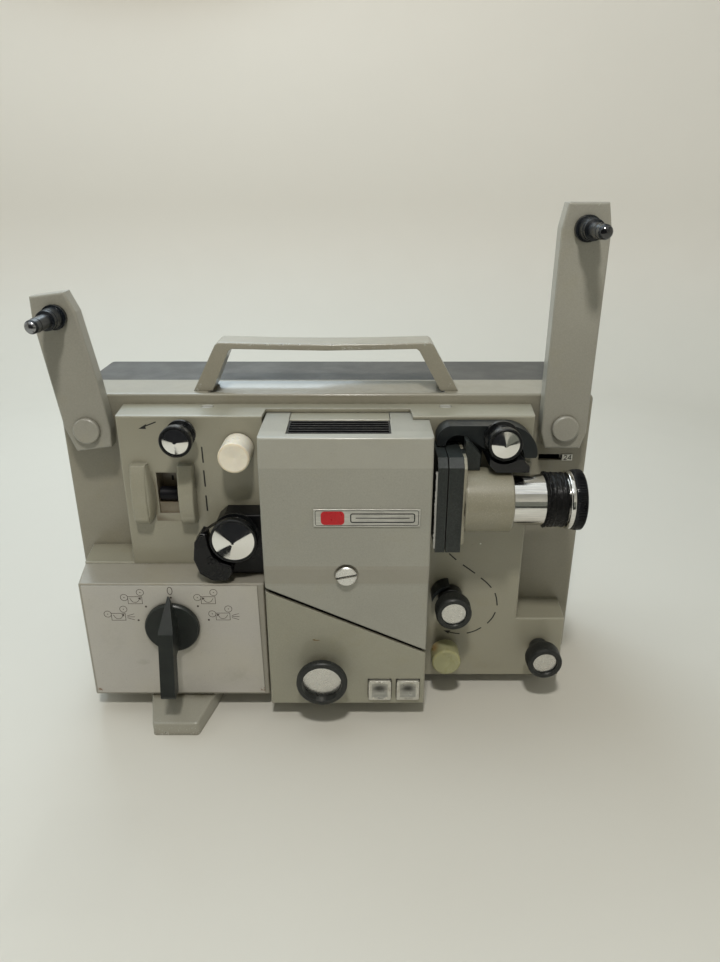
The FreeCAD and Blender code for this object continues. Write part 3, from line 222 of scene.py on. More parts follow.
def paint(name, base=PAINT, tone=0.07, grain=0.05, pebble=1.0, rough=0.37, corner_shade_and_dirt=0.75, wear=0.35, chips=(), spots=(),
          sparkle=0.0, rust=(), grime_and_shadows=(), tone_light_and_shade_zones=()):
    m = Mat(name)
    # broad tone drift, as on old stoving enamel, warmer where it has yellowed
    big = m.noise(9.0, 3.0, 0.55)
    mid = m.noise(46.0, 3.0, 0.6)
    col = m.mix(m.rng(big, 0.3, 0.7), tint(base, 1.0 - tone), tint(base, 1.0 + tone))
    col = m.mix(m.rng(mid, 0.52, 0.78, 0.0, 0.34), col, (base[0] * 0.98, base[1] * 0.93, base[2] * 0.76))
    # fine pigment grain
    fine = m.noise(1500.0, 2.0, 0.7)
    col = m.mix(grain * 3.0, col, m.mix(m.rng(fine, 0.25, 0.75), tint(base, 0.62), tint(base, 1.38)))
    if sparkle:
        sp = m.voronoi(1500.0)
        col = m.mix(m.rng(sp, 0.10, 0.2, sparkle, 0.0), col, (0.85, 0.84, 0.78))
    # rubbed and greasy patches
    rub = m.noise(21.0, 4.0, 0.62, 0.4)
    col = m.mix(m.rng(rub, 0.56, 0.74, 0.0, 0.16), col, tint(base, 0.72))
    # painted shade with dirt: corners and creases darkened toward a brown dirt colour by an ambient-occlusion mask
    occ = m.ao(0.0065)
    corner_shade_mask = m.math("MULTIPLY", m.rng(occ, 0.25, 0.8, corner_shade_and_dirt, 0.0), m.rng(m.noise(160.0, 4.0, 0.65), 0.25, 0.65, 0.45, 1.0))
    col = m.mix(corner_shade_mask, col, SHADE_AND_DIRT)
    # edges: the coat is thin and pale there, and edges that face upward are made paler still: a painted highlight
    ed = m.edges(0.0009, 0.02, 0.16)
    en = m.rng(m.noise(240.0, 4.0, 0.7), 0.36, 0.62)
    _, _, edge_up_highlight = m.sep(m.rounded(0.0010, 6))
    edge_wear_and_highlight = m.math("MULTIPLY", m.math("MULTIPLY", ed, en), m.rng(edge_up_highlight, 0.1, 0.5, wear * 0.35, min(1.0, wear * 1.5)))
    col = m.mix(edge_wear_and_highlight, col, PRIMER_AND_EDGE_HIGHLIGHT)
    rgh = m.rng(m.noise(33.0, 3.0, 0.6), 0.3, 0.7, rough - 0.06, rough + 0.08)
    height = m.noise(900.0, 2.0, 0.55)
    nrm = m.rounded(0.0010, 6)
    nrm = m.bump(height, 0.00010, 0.16 * pebble, nrm)
    nrm = m.bump(m.noise(70.0, 2.0, 0.5), 0.0009, 0.04, nrm)
    # dust specks
    dust = m.voronoi(150.0)
    col = m.mix(m.rng(dust, 0.035, 0.06, 0.35, 0.0), col, tint(base, 0.5))
    # grime blobs; the two on the film deck are painted shadows
    for centre, radii, colour, amount in grime_and_shadows:
        f = m.math("MULTIPLY", m.blob(centre, radii, 0.9), m.rng(m.noise(120.0, 4.0, 0.7), 0.3, 0.7, 0.35, 1.0))
        col = m.mix(m.math("MULTIPLY", f, amount), col, colour)
    # zones given a colour: on the lamp house cover they are painted light and painted shade, in the framing wheel's
    # pocket painted shade with grime, on the screws a plain darker tone
    for centre, half, soft, colour, amount in tone_light_and_shade_zones:
        f = m.math("MULTIPLY", m.zone(centre, half, soft), m.rng(m.noise(120.0, 4.0, 0.7), 0.3, 0.7, 0.75, 1.0))
        col = m.mix(m.math("MULTIPLY", f, amount), col, colour)
    for centre, half, soft, scale, level in chips:
        zone = m.zone(centre, half, soft)
        cn = m.noise(scale, 5.0, 0.72, 0.6)
        hit = m.math("MULTIPLY", zone, m.rng(cn, level, level + 0.03))
        core = m.math("MULTIPLY", zone, m.rng(cn, level + 0.045, level + 0.07))
        col = m.mix(hit, col, (0.56, 0.55, 0.50))
        col = m.mix(core, col, (0.07, 0.062, 0.05))
        rgh = m.math("ADD", rgh, m.math("MULTIPLY", hit, 0.1))
        nrm = m.bump(m.math("SUBTRACT", 1.0, hit), 0.00012, 0.5, nrm)
    for centre, radii, colour in spots:
        col = m.mix(m.blob(centre, radii, 0.45), col, colour)
    m.set(Base_Color=col, Roughness=rgh, Normal=nrm, Specular_IOR_Level=0.50, Coat_Weight=0.42, Coat_Roughness=0.15)
    return m.m


def black_plastic(name, base=(0.030, 0.031, 0.030), rough=0.42, wear=0.4, dust=0.25, bump=1.0, coat=0.0, spec=0.5):
    m = Mat(name)
    col = m.mix(m.rng(m.noise(60.0, 3.0, 0.6), 0.3, 0.7), tint(base, 0.8), tint(base, 1.25))
    fine = m.noise(1300.0, 2.0, 0.6)
    col = m.mix(m.rng(fine, 0.55, 0.8, 0.0, 0.18), col, tint(base, 1.9))
    d = m.math("MULTIPLY", m.rng(m.noise(140.0, 5.0, 0.7), 0.50, 0.78), dust * 0.5)
    col = m.mix(d, col, (0.16, 0.155, 0.13))
    occ = m.ao(0.004)
    col = m.mix(m.rng(occ, 0.2, 0.7, 0.30 * dust, 0.0), col, (0.12, 0.11, 0.085))
    ed = m.edges(0.0005, 0.03, 0.2)
    col = m.mix(m.math("MULTIPLY", m.math("MULTIPLY", ed, m.rng(m.noise(300.0, 4.0, 0.7), 0.35, 0.6)), wear), col,
                tint(base, 5.5))
    rgh = m.rng(m.noise(85.0, 4.0, 0.65), 0.3, 0.7, rough - 0.08, rough + 0.12)
    nrm = m.rounded(0.0003)
    nrm = m.bump(fine, 0.00006, 0.22 * bump, nrm)
    m.set(Base_Color=col, Roughness=rgh, Normal=nrm, Specular_IOR_Level=spec, Coat_Weight=coat, Coat_Roughness=0.1)
    return m.m


def turned(name, centre, base=(0.70, 0.69, 0.66), rough=0.27, aniso=0.6, axis="Y"):
    """Lathe-turned aluminium: fine concentric tool marks."""
    m = Mat(name)
    r = m.radius(centre, axis)
    w = m.n("ShaderNodeTexNoise", noise_dimensions="1D")
    m.put(w.inputs["W"], m.math("MULTIPLY", r, 5200.0))
    w.inputs["Scale"].default_value = 1.0
    w.inputs["Detail"].default_value = 3.0
    ring = w.outputs["Fac"]
    col = m.mix(m.rng(ring, 0.3, 0.7), tint(base, 0.965), base)
    smear = m.noise(190.0, 4.0, 0.65)
    col = m.mix(m.rng(smear, 0.55, 0.8, 0.0, 0.14), col, tint(base, 0.7))
    pit = m.voronoi(900.0)
    col = m.mix(m.rng(pit, 0.02, 0.06, 0.12, 0.0), col, (0.28, 0.26, 0.22))
    rgh = m.rng(smear, 0.3, 0.75, rough - 0.02, rough + 0.05)
    nrm = m.bump(ring, 0.00001, 0.05)
    m.set(Base_Color=col, Metallic=1.0, Roughness=rgh, Anisotropic=aniso, Normal=nrm)
    m.tangent(axis)
    return m.m


def mirror(name, centre, base=(0.86, 0.85, 0.82), rough=0.05, axis="Y"):
    m = Mat(name)
    r = m.radius(centre, axis)
    w = m.n("ShaderNodeTexNoise", noise_dimensions="1D")
    m.put(w.inputs["W"], m.math("MULTIPLY", r, 3600.0))
    w.inputs["Detail"].default_value = 2.0
    w.inputs["Scale"].default_value = 1.0
    smear = m.noise(170.0, 5.0, 0.7)
    col = m.mix(m.rng(smear, 0.58, 0.82, 0.0, 0.35), base, tint(base, 0.7))
    rgh = m.rng(smear, 0.35, 0.8, rough, rough + 0.16)
    scr = m.noise(420.0, 2.0, 0.6, co=m.stretch(1.0, 1.0, 0.06))
    nrm = m.bump(w.outputs["Fac"], 0.00002, 0.10)
    nrm = m.bump(m.rng(scr, 0.62, 0.7), 0.00002, 0.18, nrm)
    m.set(Base_Color=col, Metallic=1.0, Roughness=rgh, Normal=nrm)
    return m.m


def metal(name, base, rough=0.3, brush=None, corner_shade_and_dirt=0.5, scratch=0.4, edge=0.0, fine=1.0, smears=0.35, vary=0.19):
    m = Mat(name)
    co = m.stretch(*(brush or (1.0, 1.0, 1.0)))
    grain = m.noise(1100.0, 3.0, 0.65, co=co)
    col = m.mix(m.rng(grain, 0.3, 0.72), tint(base, 0.86), tint(base, 1.08))
    smear = m.noise(75.0, 4.0, 0.65)
    col = m.mix(m.rng(smear, 0.52, 0.8, 0.0, smears), col, tint(base, 0.7))
    # painted shade with dirt: corners darkened toward a dark dirt colour by an ambient-occlusion mask
    occ = m.ao(0.004)
    col = m.mix(m.rng(occ, 0.25, 0.75, corner_shade_and_dirt, 0.0), col, tint(SHADE_AND_DIRT, 0.7))
    if edge:
        col = m.mix(m.math("MULTIPLY", m.edges(0.0006, 0.03, 0.2), edge), col, (0.62, 0.6, 0.55))
    scr = m.noise(260.0, 2.0, 0.6, co=m.stretch(1.0, 1.0, 0.05))
    rgh = m.rng(smear, 0.3, 0.75, rough - 0.25 * vary, rough + 0.75 * vary)
    nrm = m.rounded(0.0003)
    nrm = m.bump(grain, 0.00003, 0.4 * fine, nrm)
    nrm = m.bump(m.rng(scr, 0.6, 0.68), 0.00003, scratch, nrm)
    m.set(Base_Color=col, Metallic=1.0, Roughness=rgh, Normal=nrm)
    return m.m


def decal(name, colour, rough=0.5, worn=0.2):
    """Printed ink: slightly broken where it has rubbed off, and never quite even."""
    m = Mat(name)
    col = m.mix(m.rng(m.noise(700.0, 4.0, 0.7), 0.3, 0.7), tint(colour, 0.92), tint(colour, 1.12))
    col = m.mix(m.rng(m.noise(1600.0, 3.0, 0.7), 0.70, 0.78, 0.0, worn), col, tint(PAINT, 0.9))
    m.set(Base_Color=col, Roughness=m.rng(m.noise(300.0), 0.3, 0.7, rough - 0.08, rough + 0.08),
          Normal=m.bump(m.noise(900.0), 0.00002, 0.2))
    return m.m


def panel_metal():
    """Anodised front plate: satin, very fine grain, a few stains and rubbed places."""
    m = Mat("control_panel_anodised")
    base = (0.478, 0.460, 0.430)
    grain = m.noise(1700.0, 3.0, 0.6)
    col = m.mix(m.rng(grain, 0.25, 0.75), tint(base, 0.955), tint(base, 1.035))
    col = m.mix(m.rng(m.noise(18.0, 3.0, 0.6), 0.35, 0.7), col, m.mix(0.5, col, (0.51, 0.485, 0.41)))
    cloud = m.noise(52.0, 5.0, 0.66, 0.5)
    col = m.mix(m.rng(cloud, 0.55, 0.8, 0.0, 0.14), col, (0.30, 0.285, 0.235))
    # handling marks round the selector and a faint smudge low down on the left
    for c, r, k in (((-123, -53.4, 60), (30, 6, 30), 0.30), ((-146, -53.4, 40.5), (7, 4, 3.4), 0.35),
                    ((-84, -53.4, 30), (16, 4, 12), 0.22), ((-164, -53.4, 60), (15, 4, 22), 0.12)):
        f = m.math("MULTIPLY", m.blob(c, r, 0.95), m.rng(m.noise(150.0, 5.0, 0.7), 0.35, 0.68, 0.2, 1.0))
        col = m.mix(m.math("MULTIPLY", f, k), col, (0.20, 0.185, 0.14))
    # painted shade: darkened in corners and creases by an ambient-occlusion mask
    occ = m.ao(0.005)
    col = m.mix(m.rng(occ, 0.3, 0.85, 0.55, 0.0), col, (0.13, 0.115, 0.075))
    # a little rust at the lower corners
    for c in ((-178.6, -53.4, 17.4), (-66.6, -53.4, 18.2)):
        f = m.math("MULTIPLY", m.blob(c, (3.2, 2, 2.6), 0.8), m.rng(m.noise(600.0, 4.0, 0.7), 0.45, 0.6))
        col = m.mix(f, col, (0.17, 0.075, 0.03))
    specks = m.voronoi(210.0)
    col = m.mix(m.rng(specks, 0.03, 0.055, 0.6, 0.0), col, (0.10, 0.075, 0.05))
    rgh = m.rng(cloud, 0.3, 0.75, 0.40, 0.52)
    nrm = m.bump(grain, 0.00003, 0.12)
    m.set(Base_Color=col, Metallic=0.25, Roughness=rgh, Normal=nrm, Specular_IOR_Level=0.5)
    return m.m


def ivory(name, base, centre, ring, ring_r, stains=(), sss=0.25, axis="Y", rough=0.3, ring_amount=0.28):
    """Aged plastic roller: a little light gets into it, and its rim has gone amber."""
    m = Mat(name)
    r = m.radius(centre, axis)
    col = m.mix(m.rng(m.noise(55.0, 3.0, 0.6), 0.3, 0.7), tint(base, 0.93), tint(base, 1.05))
    band = m.math("MULTIPLY", m.rng(r, mm(ring_r - 0.8), mm(ring_r)), m.rng(r, mm(ring_r + 0.1), mm(ring_r + 0.9), 1.0, 0.0))
    col = m.mix(m.math("MULTIPLY", band, ring_amount), col, ring)
    for c, radii, colour, k in stains:
        f = m.math("MULTIPLY", m.blob(c, radii, 0.95), m.rng(m.noise(180.0, 4.0, 0.65), 0.3, 0.7, 0.45, 1.0))
        col = m.mix(m.math("MULTIPLY", f, k), col, colour)
    # painted shade: darkened toward brown in corners by an ambient-occlusion mask
    col = m.mix(m.rng(m.ao(0.004), 0.2, 0.7, 0.5, 0.0), col, (0.25, 0.19, 0.09))
    w = m.n("ShaderNodeTexNoise", noise_dimensions="1D")
    m.put(w.inputs["W"], m.math("MULTIPLY", r, 2600.0))
    w.inputs["Scale"].default_value = 1.0
    nrm = m.rounded(0.0004)
    nrm = m.bump(w.outputs["Fac"], 0.00003, 0.30, nrm)
    m.set(Base_Color=col, Roughness=m.rng(m.noise(120.0, 3.0), 0.3, 0.7, rough - 0.05, rough + 0.12), Normal=nrm,
          Subsurface_Weight=sss, Subsurface_Scale=0.004, Specular_IOR_Level=0.5)
    m.b.inputs["Subsurface Radius"].default_value = (1.0, 0.8, 0.45)
    return m.m


def rubber(name, base=(0.022, 0.022, 0.022), dust=0.5, rough=0.72):
    m = Mat(name)
    col = m.mix(m.rng(m.noise(90.0, 4.0, 0.7), 0.35, 0.7), tint(base, 0.7), tint(base, 1.7))
    worn = m.noise(420.0, 5.0, 0.72, 0.8)
    col = m.mix(m.rng(worn, 0.60, 0.76, 0.0, dust), col, (0.055, 0.055, 0.052))
    col = m.mix(m.math("MULTIPLY", m.edges(0.0005, 0.05, 0.3), 0.12), col, (0.05, 0.048, 0.044))
    nrm = m.bump(m.noise(500.0, 3.0, 0.6), 0.00008, 0.35)
    m.set(Base_Color=col, Roughness=m.rng(worn, 0.3, 0.7, rough - 0.12, rough + 0.1), Normal=nrm,
          Specular_IOR_Level=0.20)
    return m.m


def glass(name):
    m = Mat(name)
    smear = m.noise(130.0, 4.0, 0.6)
    m.set(Base_Color=m.mix(m.rng(smear, 0.5, 0.8, 0.0, 0.25), (0.90, 0.95, 0.97), (0.72, 0.76, 0.74)),
          Roughness=m.rng(smear, 0.4, 0.8, 0.01, 0.12), Normal=m.bump(smear, 0.00002, 0.05), IOR=1.52,
          Transmission_Weight=1.0, Coat_Weight=0.4, Coat_Roughness=0.02)
    return m.m


def button_metal(name, cx, cz):
    """A bevelled metal cap with a worn, scratched dish in its face."""
    m = Mat(name)
    s = m.n("ShaderNodeVectorMath", operation="SUBTRACT")
    m.link(m.co, s.inputs[0])
    s.inputs[1].default_value = B(cx, -64.9, cz)
    a = m.n("ShaderNodeVectorMath", operation="ABSOLUTE")
    m.link(s.outputs[0], a.inputs[0])
    x, _, z = m.sep(a.outputs[0])
    cheb = m.math("MAXIMUM", x, z)
    frame_mask = m.rng(cheb, mm(5.0), mm(5.6))
    scr = m.noise(900.0, 3.0, 0.65, co=m.stretch(0.12, 1.0, 1.0))
    worn = m.noise(260.0, 5.0, 0.7)
    dish = m.mix(m.rng(scr, 0.4, 0.68), (0.40, 0.40, 0.375), (0.48, 0.475, 0.445))
    # painted shade: the middle of the dish is darkened, as a hollow dish looks, and it is lighter towards its foot
    f = m.math("MULTIPLY", m.blob((cx, -64.0, cz + 0.8), (6.6, 6.0, 4.4), 0.85), m.rng(worn, 0.2, 0.6, 0.8, 1.0))
    dish = m.mix(m.math("MULTIPLY", f, 0.92), dish, (0.05, 0.05, 0.047))
    rim = m.mix(m.rng(worn, 0.4, 0.75), (0.66, 0.65, 0.60), (0.50, 0.48, 0.42))
    col = m.mix(frame_mask, dish, rim)
    # painted shade: darkened in corners by an ambient-occlusion mask
    col = m.mix(m.rng(m.ao(0.003), 0.2, 0.75, 0.7, 0.0), col, (0.05, 0.045, 0.03))
    nrm = m.rounded(0.0005)
    nrm = m.bump(scr, 0.00002, 0.08, nrm)
    m.set(Base_Color=col, Metallic=0.75, Roughness=m.rng(worn, 0.3, 0.75, 0.26, 0.46), Normal=nrm)
    return m.m


def crackle_dark(name, base=(0.012, 0.013, 0.014), rough=0.5, edge=0.35, bare=0.28, rad=0.0004, bump=0.30, spec=0.5):
    """Dark baked enamel on small castings, with rubbed corners."""
    m = Mat(name)
    grain = m.noise(1000.0, 3.0, 0.6)
    col = m.mix(m.rng(grain, 0.3, 0.75), tint(base, 0.8), tint(base, 1.8))
    col = m.mix(m.rng(m.noise(90.0, 5.0, 0.7), 0.56, 0.8, 0.0, bare), col, (0.10, 0.095, 0.08))
    ed = m.math("MULTIPLY", m.edges(0.0006, 0.03, 0.2), m.rng(m.noise(330.0, 4.0, 0.7), 0.38, 0.62, 0.15, 1.0))
    col = m.mix(m.math("MULTIPLY", ed, edge), col, (0.22, 0.22, 0.20))
    nrm = m.rounded(rad)
    nrm = m.bump(grain, 0.00008, bump, nrm)
    m.set(Base_Color=col, Roughness=m.rng(m.noise(70.0, 4.0), 0.3, 0.7, rough - 0.1, rough + 0.1), Normal=nrm,
          Specular_IOR_Level=spec)
    return m.m


def cover_shell():
    """The moulded rear shell: dull dark grey, finely grained, greyed on top by dust."""
    m = Mat("rear_shell_grained")
    base = (0.070, 0.069, 0.064)
    leather = m.voronoi(720.0)
    fine = m.noise(1400.0, 3.0, 0.6)
    col = m.mix(m.rng(m.noise(11.0, 3.0, 0.6), 0.3, 0.7), tint(base, 0.88), tint(base, 1.10))
    col = m.mix(m.rng(fine, 0.3, 0.75, 0.0, 0.35), col, tint(base, 1.3))
    _, _, nz = m.sep(m.n("ShaderNodeNewGeometry").outputs["True Normal"])
    top = m.math("MULTIPLY", m.rng(nz, 0.4, 0.95), m.rng(m.noise(35.0, 5.0, 0.7), 0.3, 0.7, 0.2, 0.6))
    col = m.mix(top, col, (0.098, 0.094, 0.084))
    # painted shade: darkened in corners by an ambient-occlusion mask
    col = m.mix(m.rng(m.ao(0.008), 0.25, 0.8, 0.6, 0.0), col, (0.05, 0.045, 0.035))
    ed = m.math("MULTIPLY", m.edges(0.0008, 0.03, 0.2), m.rng(m.noise(180.0, 4.0, 0.7), 0.4, 0.65))
    col = m.mix(m.math("MULTIPLY", ed, 0.4), col, (0.30, 0.29, 0.26))
    nrm = m.rounded(0.0006)
    nrm = m.bump(leather, 0.00018, 0.40, nrm)
    nrm = m.bump(fine, 0.00005, 0.2, nrm)
    m.set(Base_Color=col, Roughness=m.rng(m.noise(40.0, 4.0), 0.3, 0.7, 0.48, 0.64), Normal=nrm,
          Specular_IOR_Level=0.25)
    return m.m


BLACKISH = (0.020, 0.021, 0.021)
M = {}
# the casting top is darkened brown, most of all in the middle under the handle
M["casting"] = paint("casting_enamel", (0.256, 0.241, 0.191), grime_and_shadows=(((-22, 20, 213), (150, 40, 9), (0.20, 0.165, 0.10), 0.45),
                                            ((-22, 22, 213), (60, 14, 6), (0.15, 0.12, 0.07), 0.5)))
# deck: the two green-grey grime blobs are painted shadows, of the gate above the lower sprocket knob and of the upper
# white roller below it
M["deck"] = paint("deck_enamel", PAINT_DECK, spots=(((80.6, -33, 116.5), (0.9, 12, 0.9), (0.62, 0.61, 0.55)),),
                  grime_and_shadows=(((58, -27, 118), (16, 6, 26), (0.20, 0.205, 0.12), 0.35),
                         ((-79, -27, 158), (15, 6, 16), (0.24, 0.225, 0.16), 0.25)),
                  # painted shade with some grime: the framing wheel's pocket is darkened to a dark brown
                  tone_light_and_shade_zones=(((-124, -18.9, 151), (9.5, 7.7, 17.5), 0.5, (0.135, 0.105, 0.066), 0.92),))
M["box"] = paint("control_box_enamel", PAINT_BOX, wear=0.5,
                 chips=(((-184.5, -52, 58), (1.6, 2.5, 44), 1.5, 420.0, 0.60),),
                 grime_and_shadows=(((-124, -40, 101), (64, 22, 4), (0.30, 0.27, 0.20), 0.25),))
# painted light and shade on the lamp house cover: its upper facet is painted lighter and a band low down is painted
# darker
M["cover"] = paint("lamp_house_enamel", wear=0.30, tone_light_and_shade_zones=(((-22, -62, 194.6), (90, 12, 9.4), 0.3, (0.388, 0.382, 0.334), 0.45),
                                                             ((-22, -62, 113.5), (90, 12, 6.4), 0.3, (0.250, 0.226, 0.178), 0.45)),
                   spots=(((-38, -64, 26), (0.9, 2, 0.5), (0.2, 0.12, 0.05)),))
M["base"] = paint("lamp_base_enamel", (0.280, 0.272, 0.214), wear=0.30,
                  spots=(((-28.4, -62.6, 64.4), (3.0, 2.0, 0.45), (0.17, 0.11, 0.045)),
                         ((-30.0, -62.6, 65.0), (1.2, 2.0, 0.4), (0.15, 0.10, 0.04))))
M["arm"] = paint("reel_arm_enamel", (0.292, 0.283, 0.243), wear=0.45, pebble=0.9,
                 chips=(((-189, -20, 262), (3.5, 2.5, 4.0), 2.0, 300.0, 0.62),
                        ((-178, -20, 279), (16, 3, 1.2), 1.0, 420.0, 0.62),
                        ((130, -20, 329), (14, 3, 1.0), 1.0, 420.0, 0.62)))
M["carrier"] = paint("lens_carrier_enamel", (0.245, 0.229, 0.170), grain=0.08, pebble=2.0, rough=0.36, sparkle=0.35)
M["handle"] = paint("handle_enamel", (0.282, 0.265, 0.212), wear=0.9,
                    chips=(((-22, 8, 244.0), (84, 2.2, 1.3), 0.9, 330.0, 0.565),
                           ((-22, 12, 239.4), (52, 6.5, 1.2), 1.0, 260.0, 0.60),
                           ((-108, 16, 214), (3.5, 8, 2.5), 1.4, 300.0, 0.58),
                           ((63, 16, 214), (3.5, 8, 2.5), 1.4, 300.0, 0.58)))
M["foot"] = paint("foot_enamel", (0.318, 0.308, 0.258), wear=0.8, corner_shade_and_dirt=0.9,
                  chips=(((-122, -77, 3.0), (28, 2.5, 2.4), 1.4, 380.0, 0.575),
                         ((-141, -77, 8.0), (9, 2.5, 5.5), 1.6, 380.0, 0.60)))
M["shell"] = cover_shell()
M["panel"] = panel_metal()
M["badge"] = metal("badge_silver", (0.66, 0.65, 0.61), 0.34, (0.08, 1.0, 1.0), corner_shade_and_dirt=0.3, scratch=0.25)
M["grille"] = crackle_dark("grille_black", (0.005, 0.005, 0.006), 0.40, edge=0.5, bare=0.05, rad=0.0003, spec=0.35)
M["gate"] = crackle_dark("gate_dark_satin", (0.0155, 0.0185, 0.0175), 0.38, edge=0.25, bare=0.06, rad=0.0007, bump=0.08, spec=0.42)
M["sound"] = crackle_dark("sound_head_black", (0.003, 0.003, 0.0035), 0.34, edge=0.15, bare=0.03, bump=0.10, spec=0.25)
M["arm_black"] = black_plastic("pressure_arm_black", (0.0025, 0.0025, 0.003), 0.22, wear=0.3, dust=0.02, bump=0.4, coat=0.15, spec=0.25)
M["guide"] = black_plastic("inlet_guide_black", (0.012, 0.015, 0.016), 0.38, wear=0.3, dust=0.06, bump=0.6, spec=0.4)
M["shoe"] = black_plastic("guide_shoe_black", (0.004, 0.004, 0.005), 0.20, wear=0.4, dust=0.03, bump=0.5, coat=0.4, spec=0.3)
M["charcoal"] = black_plastic("knob_charcoal", (0.016, 0.0175, 0.0165), 0.36, wear=0.30, dust=0.12, bump=0.6, spec=0.4)
M["selector"] = black_plastic("selector_charcoal", (0.013, 0.016, 0.0145), 0.38, wear=0.25, dust=0.08, bump=0.6, spec=0.45)
M["roller_black"] = black_plastic("roller_black", (0.005, 0.0055, 0.006), 0.28, wear=0.25, dust=0.03, bump=0.3, coat=0.12, spec=0.3)
M["spindle"] = black_plastic("spindle_charcoal", (0.006, 0.008, 0.011), 0.27, wear=0.2, dust=0.03, bump=0.15, coat=0.12, spec=0.35)
M["wheel"] = black_plastic("framing_wheel_black", (0.004, 0.004, 0.006), 0.45, wear=0.1, dust=0.03, spec=0.25)
M["pale_strip"] = decal("pale_jagged_strip_grey", (0.34, 0.34, 0.32), 0.8, worn=0.5)
M["tip_dark"] = black_plastic("dark_glossy_tip", (0.006, 0.006, 0.007), 0.08, wear=0.1, dust=0.04, bump=0.2, coat=1.0)
M["screw_pale"] = paint("deck_screw_pale", (0.40, 0.395, 0.36), wear=0.8, corner_shade_and_dirt=0.8,
                        tone_light_and_shade_zones=(((0, 0, 100), (400, 400, 102), 1.0, (0.012, 0.012, 0.012), 1.0),))
M["steel"] = metal("screw_steel", (0.58, 0.565, 0.53), 0.27, (1.0, 1.0, 0.2), corner_shade_and_dirt=0.7, scratch=0.3)
M["coin"] = turned("coin_screw_turned", (-8.5, -66.6, 113.7), (0.74, 0.73, 0.70), 0.26, 0.55)
M["slider"] = metal("slider_white_tab", (0.80, 0.79, 0.76), 0.40, corner_shade_and_dirt=0.2, scratch=0.1)
M["pivot"] = paint("pivot_cap_enamel", (0.300, 0.290, 0.250), wear=0.5)
M["chrome"] = metal("lens_chrome", (0.82, 0.81, 0.785), 0.10, (0.06, 1.0, 1.0), corner_shade_and_dirt=0.3, scratch=0.05, fine=0.08, smears=0.08, vary=0.06)
M["rubber_band"] = rubber("grip_rubber_worn", (0.0045, 0.0045, 0.0045), dust=0.10, rough=0.38)
M["rubber"] = rubber("foot_rubber", (0.03, 0.03, 0.028), dust=0.6)
M["zoom_black"] = black_plastic("zoom_ring_black", (0.0025, 0.003, 0.0045), 0.20, wear=0.3, dust=0.03, bump=0.4, coat=0.3, spec=0.3)
M["glass"] = glass("lens_glass_coated")
M["bulb"] = glass("bulb_glass")
M["reflector"] = mirror("reflector_mirror", (-21, -50, 158.2), rough=0.08)
M["iron"] = crackle_dark("iron_lacquered", (0.10, 0.085, 0.06), 0.6)
M["board"] = black_plastic("board_brown", (0.07, 0.055, 0.035), 0.55, wear=0.2, dust=0.4)
M["socket"] = black_plastic("socket_black", (0.022, 0.022, 0.022), 0.45, wear=0.3, dust=0.3)
M["disc_volume"] = turned("volume_disc_turned", (-24.6, -73.5, 40.9))
M["disc_elev"] = turned("elevation_disc_turned", (126.4, -48.0, 35.8))
M["disc_lower"] = turned("sprocket_disc_turned", (61.8, -51.2, 77.2))
M["cap_snub"] = mirror("snubber_cap_mirror", (-110.1, -52, 197.0))
M["cap_drum"] = mirror("drum_cap_mirror", (-79.3, -55, 132.3))
M["cap_upper"] = mirror("sprocket_cap_mirror", (85.9, -57, 196.8))
M["tip_left"] = mirror("left_tip_mirror", (-182.649, -55, 265.416), (0.30, 0.305, 0.32), rough=0.16)
M["tip_right"] = mirror("right_tip_mirror", (130.0, -55, 315.5), rough=0.10)
M["ivory"] = ivory("roller_ivory", (0.83, 0.775, 0.66), (-76.9, -46, 184.9), (0.62, 0.42, 0.18), 9.0, sss=0.2)
M["green"] = ivory("roller_yellowed", (0.325, 0.320, 0.180), (59.3, -46, 35.0), (0.42, 0.34, 0.13), 9.1,
                   stains=(((51.5, -38, 41), (6, 9, 6), (0.30, 0.15, 0.045), 0.8),), sss=0.35, ring_amount=0.1)
M["btn_l"] = button_metal("left_button_metal", 13.2, 25.8)
M["btn_r"] = button_metal("right_button_metal", 32.0, 25.8)
M["ink_black"] = decal("ink_black", (0.012, 0.012, 0.012), worn=0.1)
M["ink_brown"] = decal("ink_brown", (0.060, 0.042, 0.036))
M["ink_red"] = decal("ink_red", (0.44, 0.004, 0.010), 0.35, worn=0.02)
M["tab_white"] = decal("tab_white", (0.72, 0.71, 0.66))
M["knob_black"] = M["roller_black"]

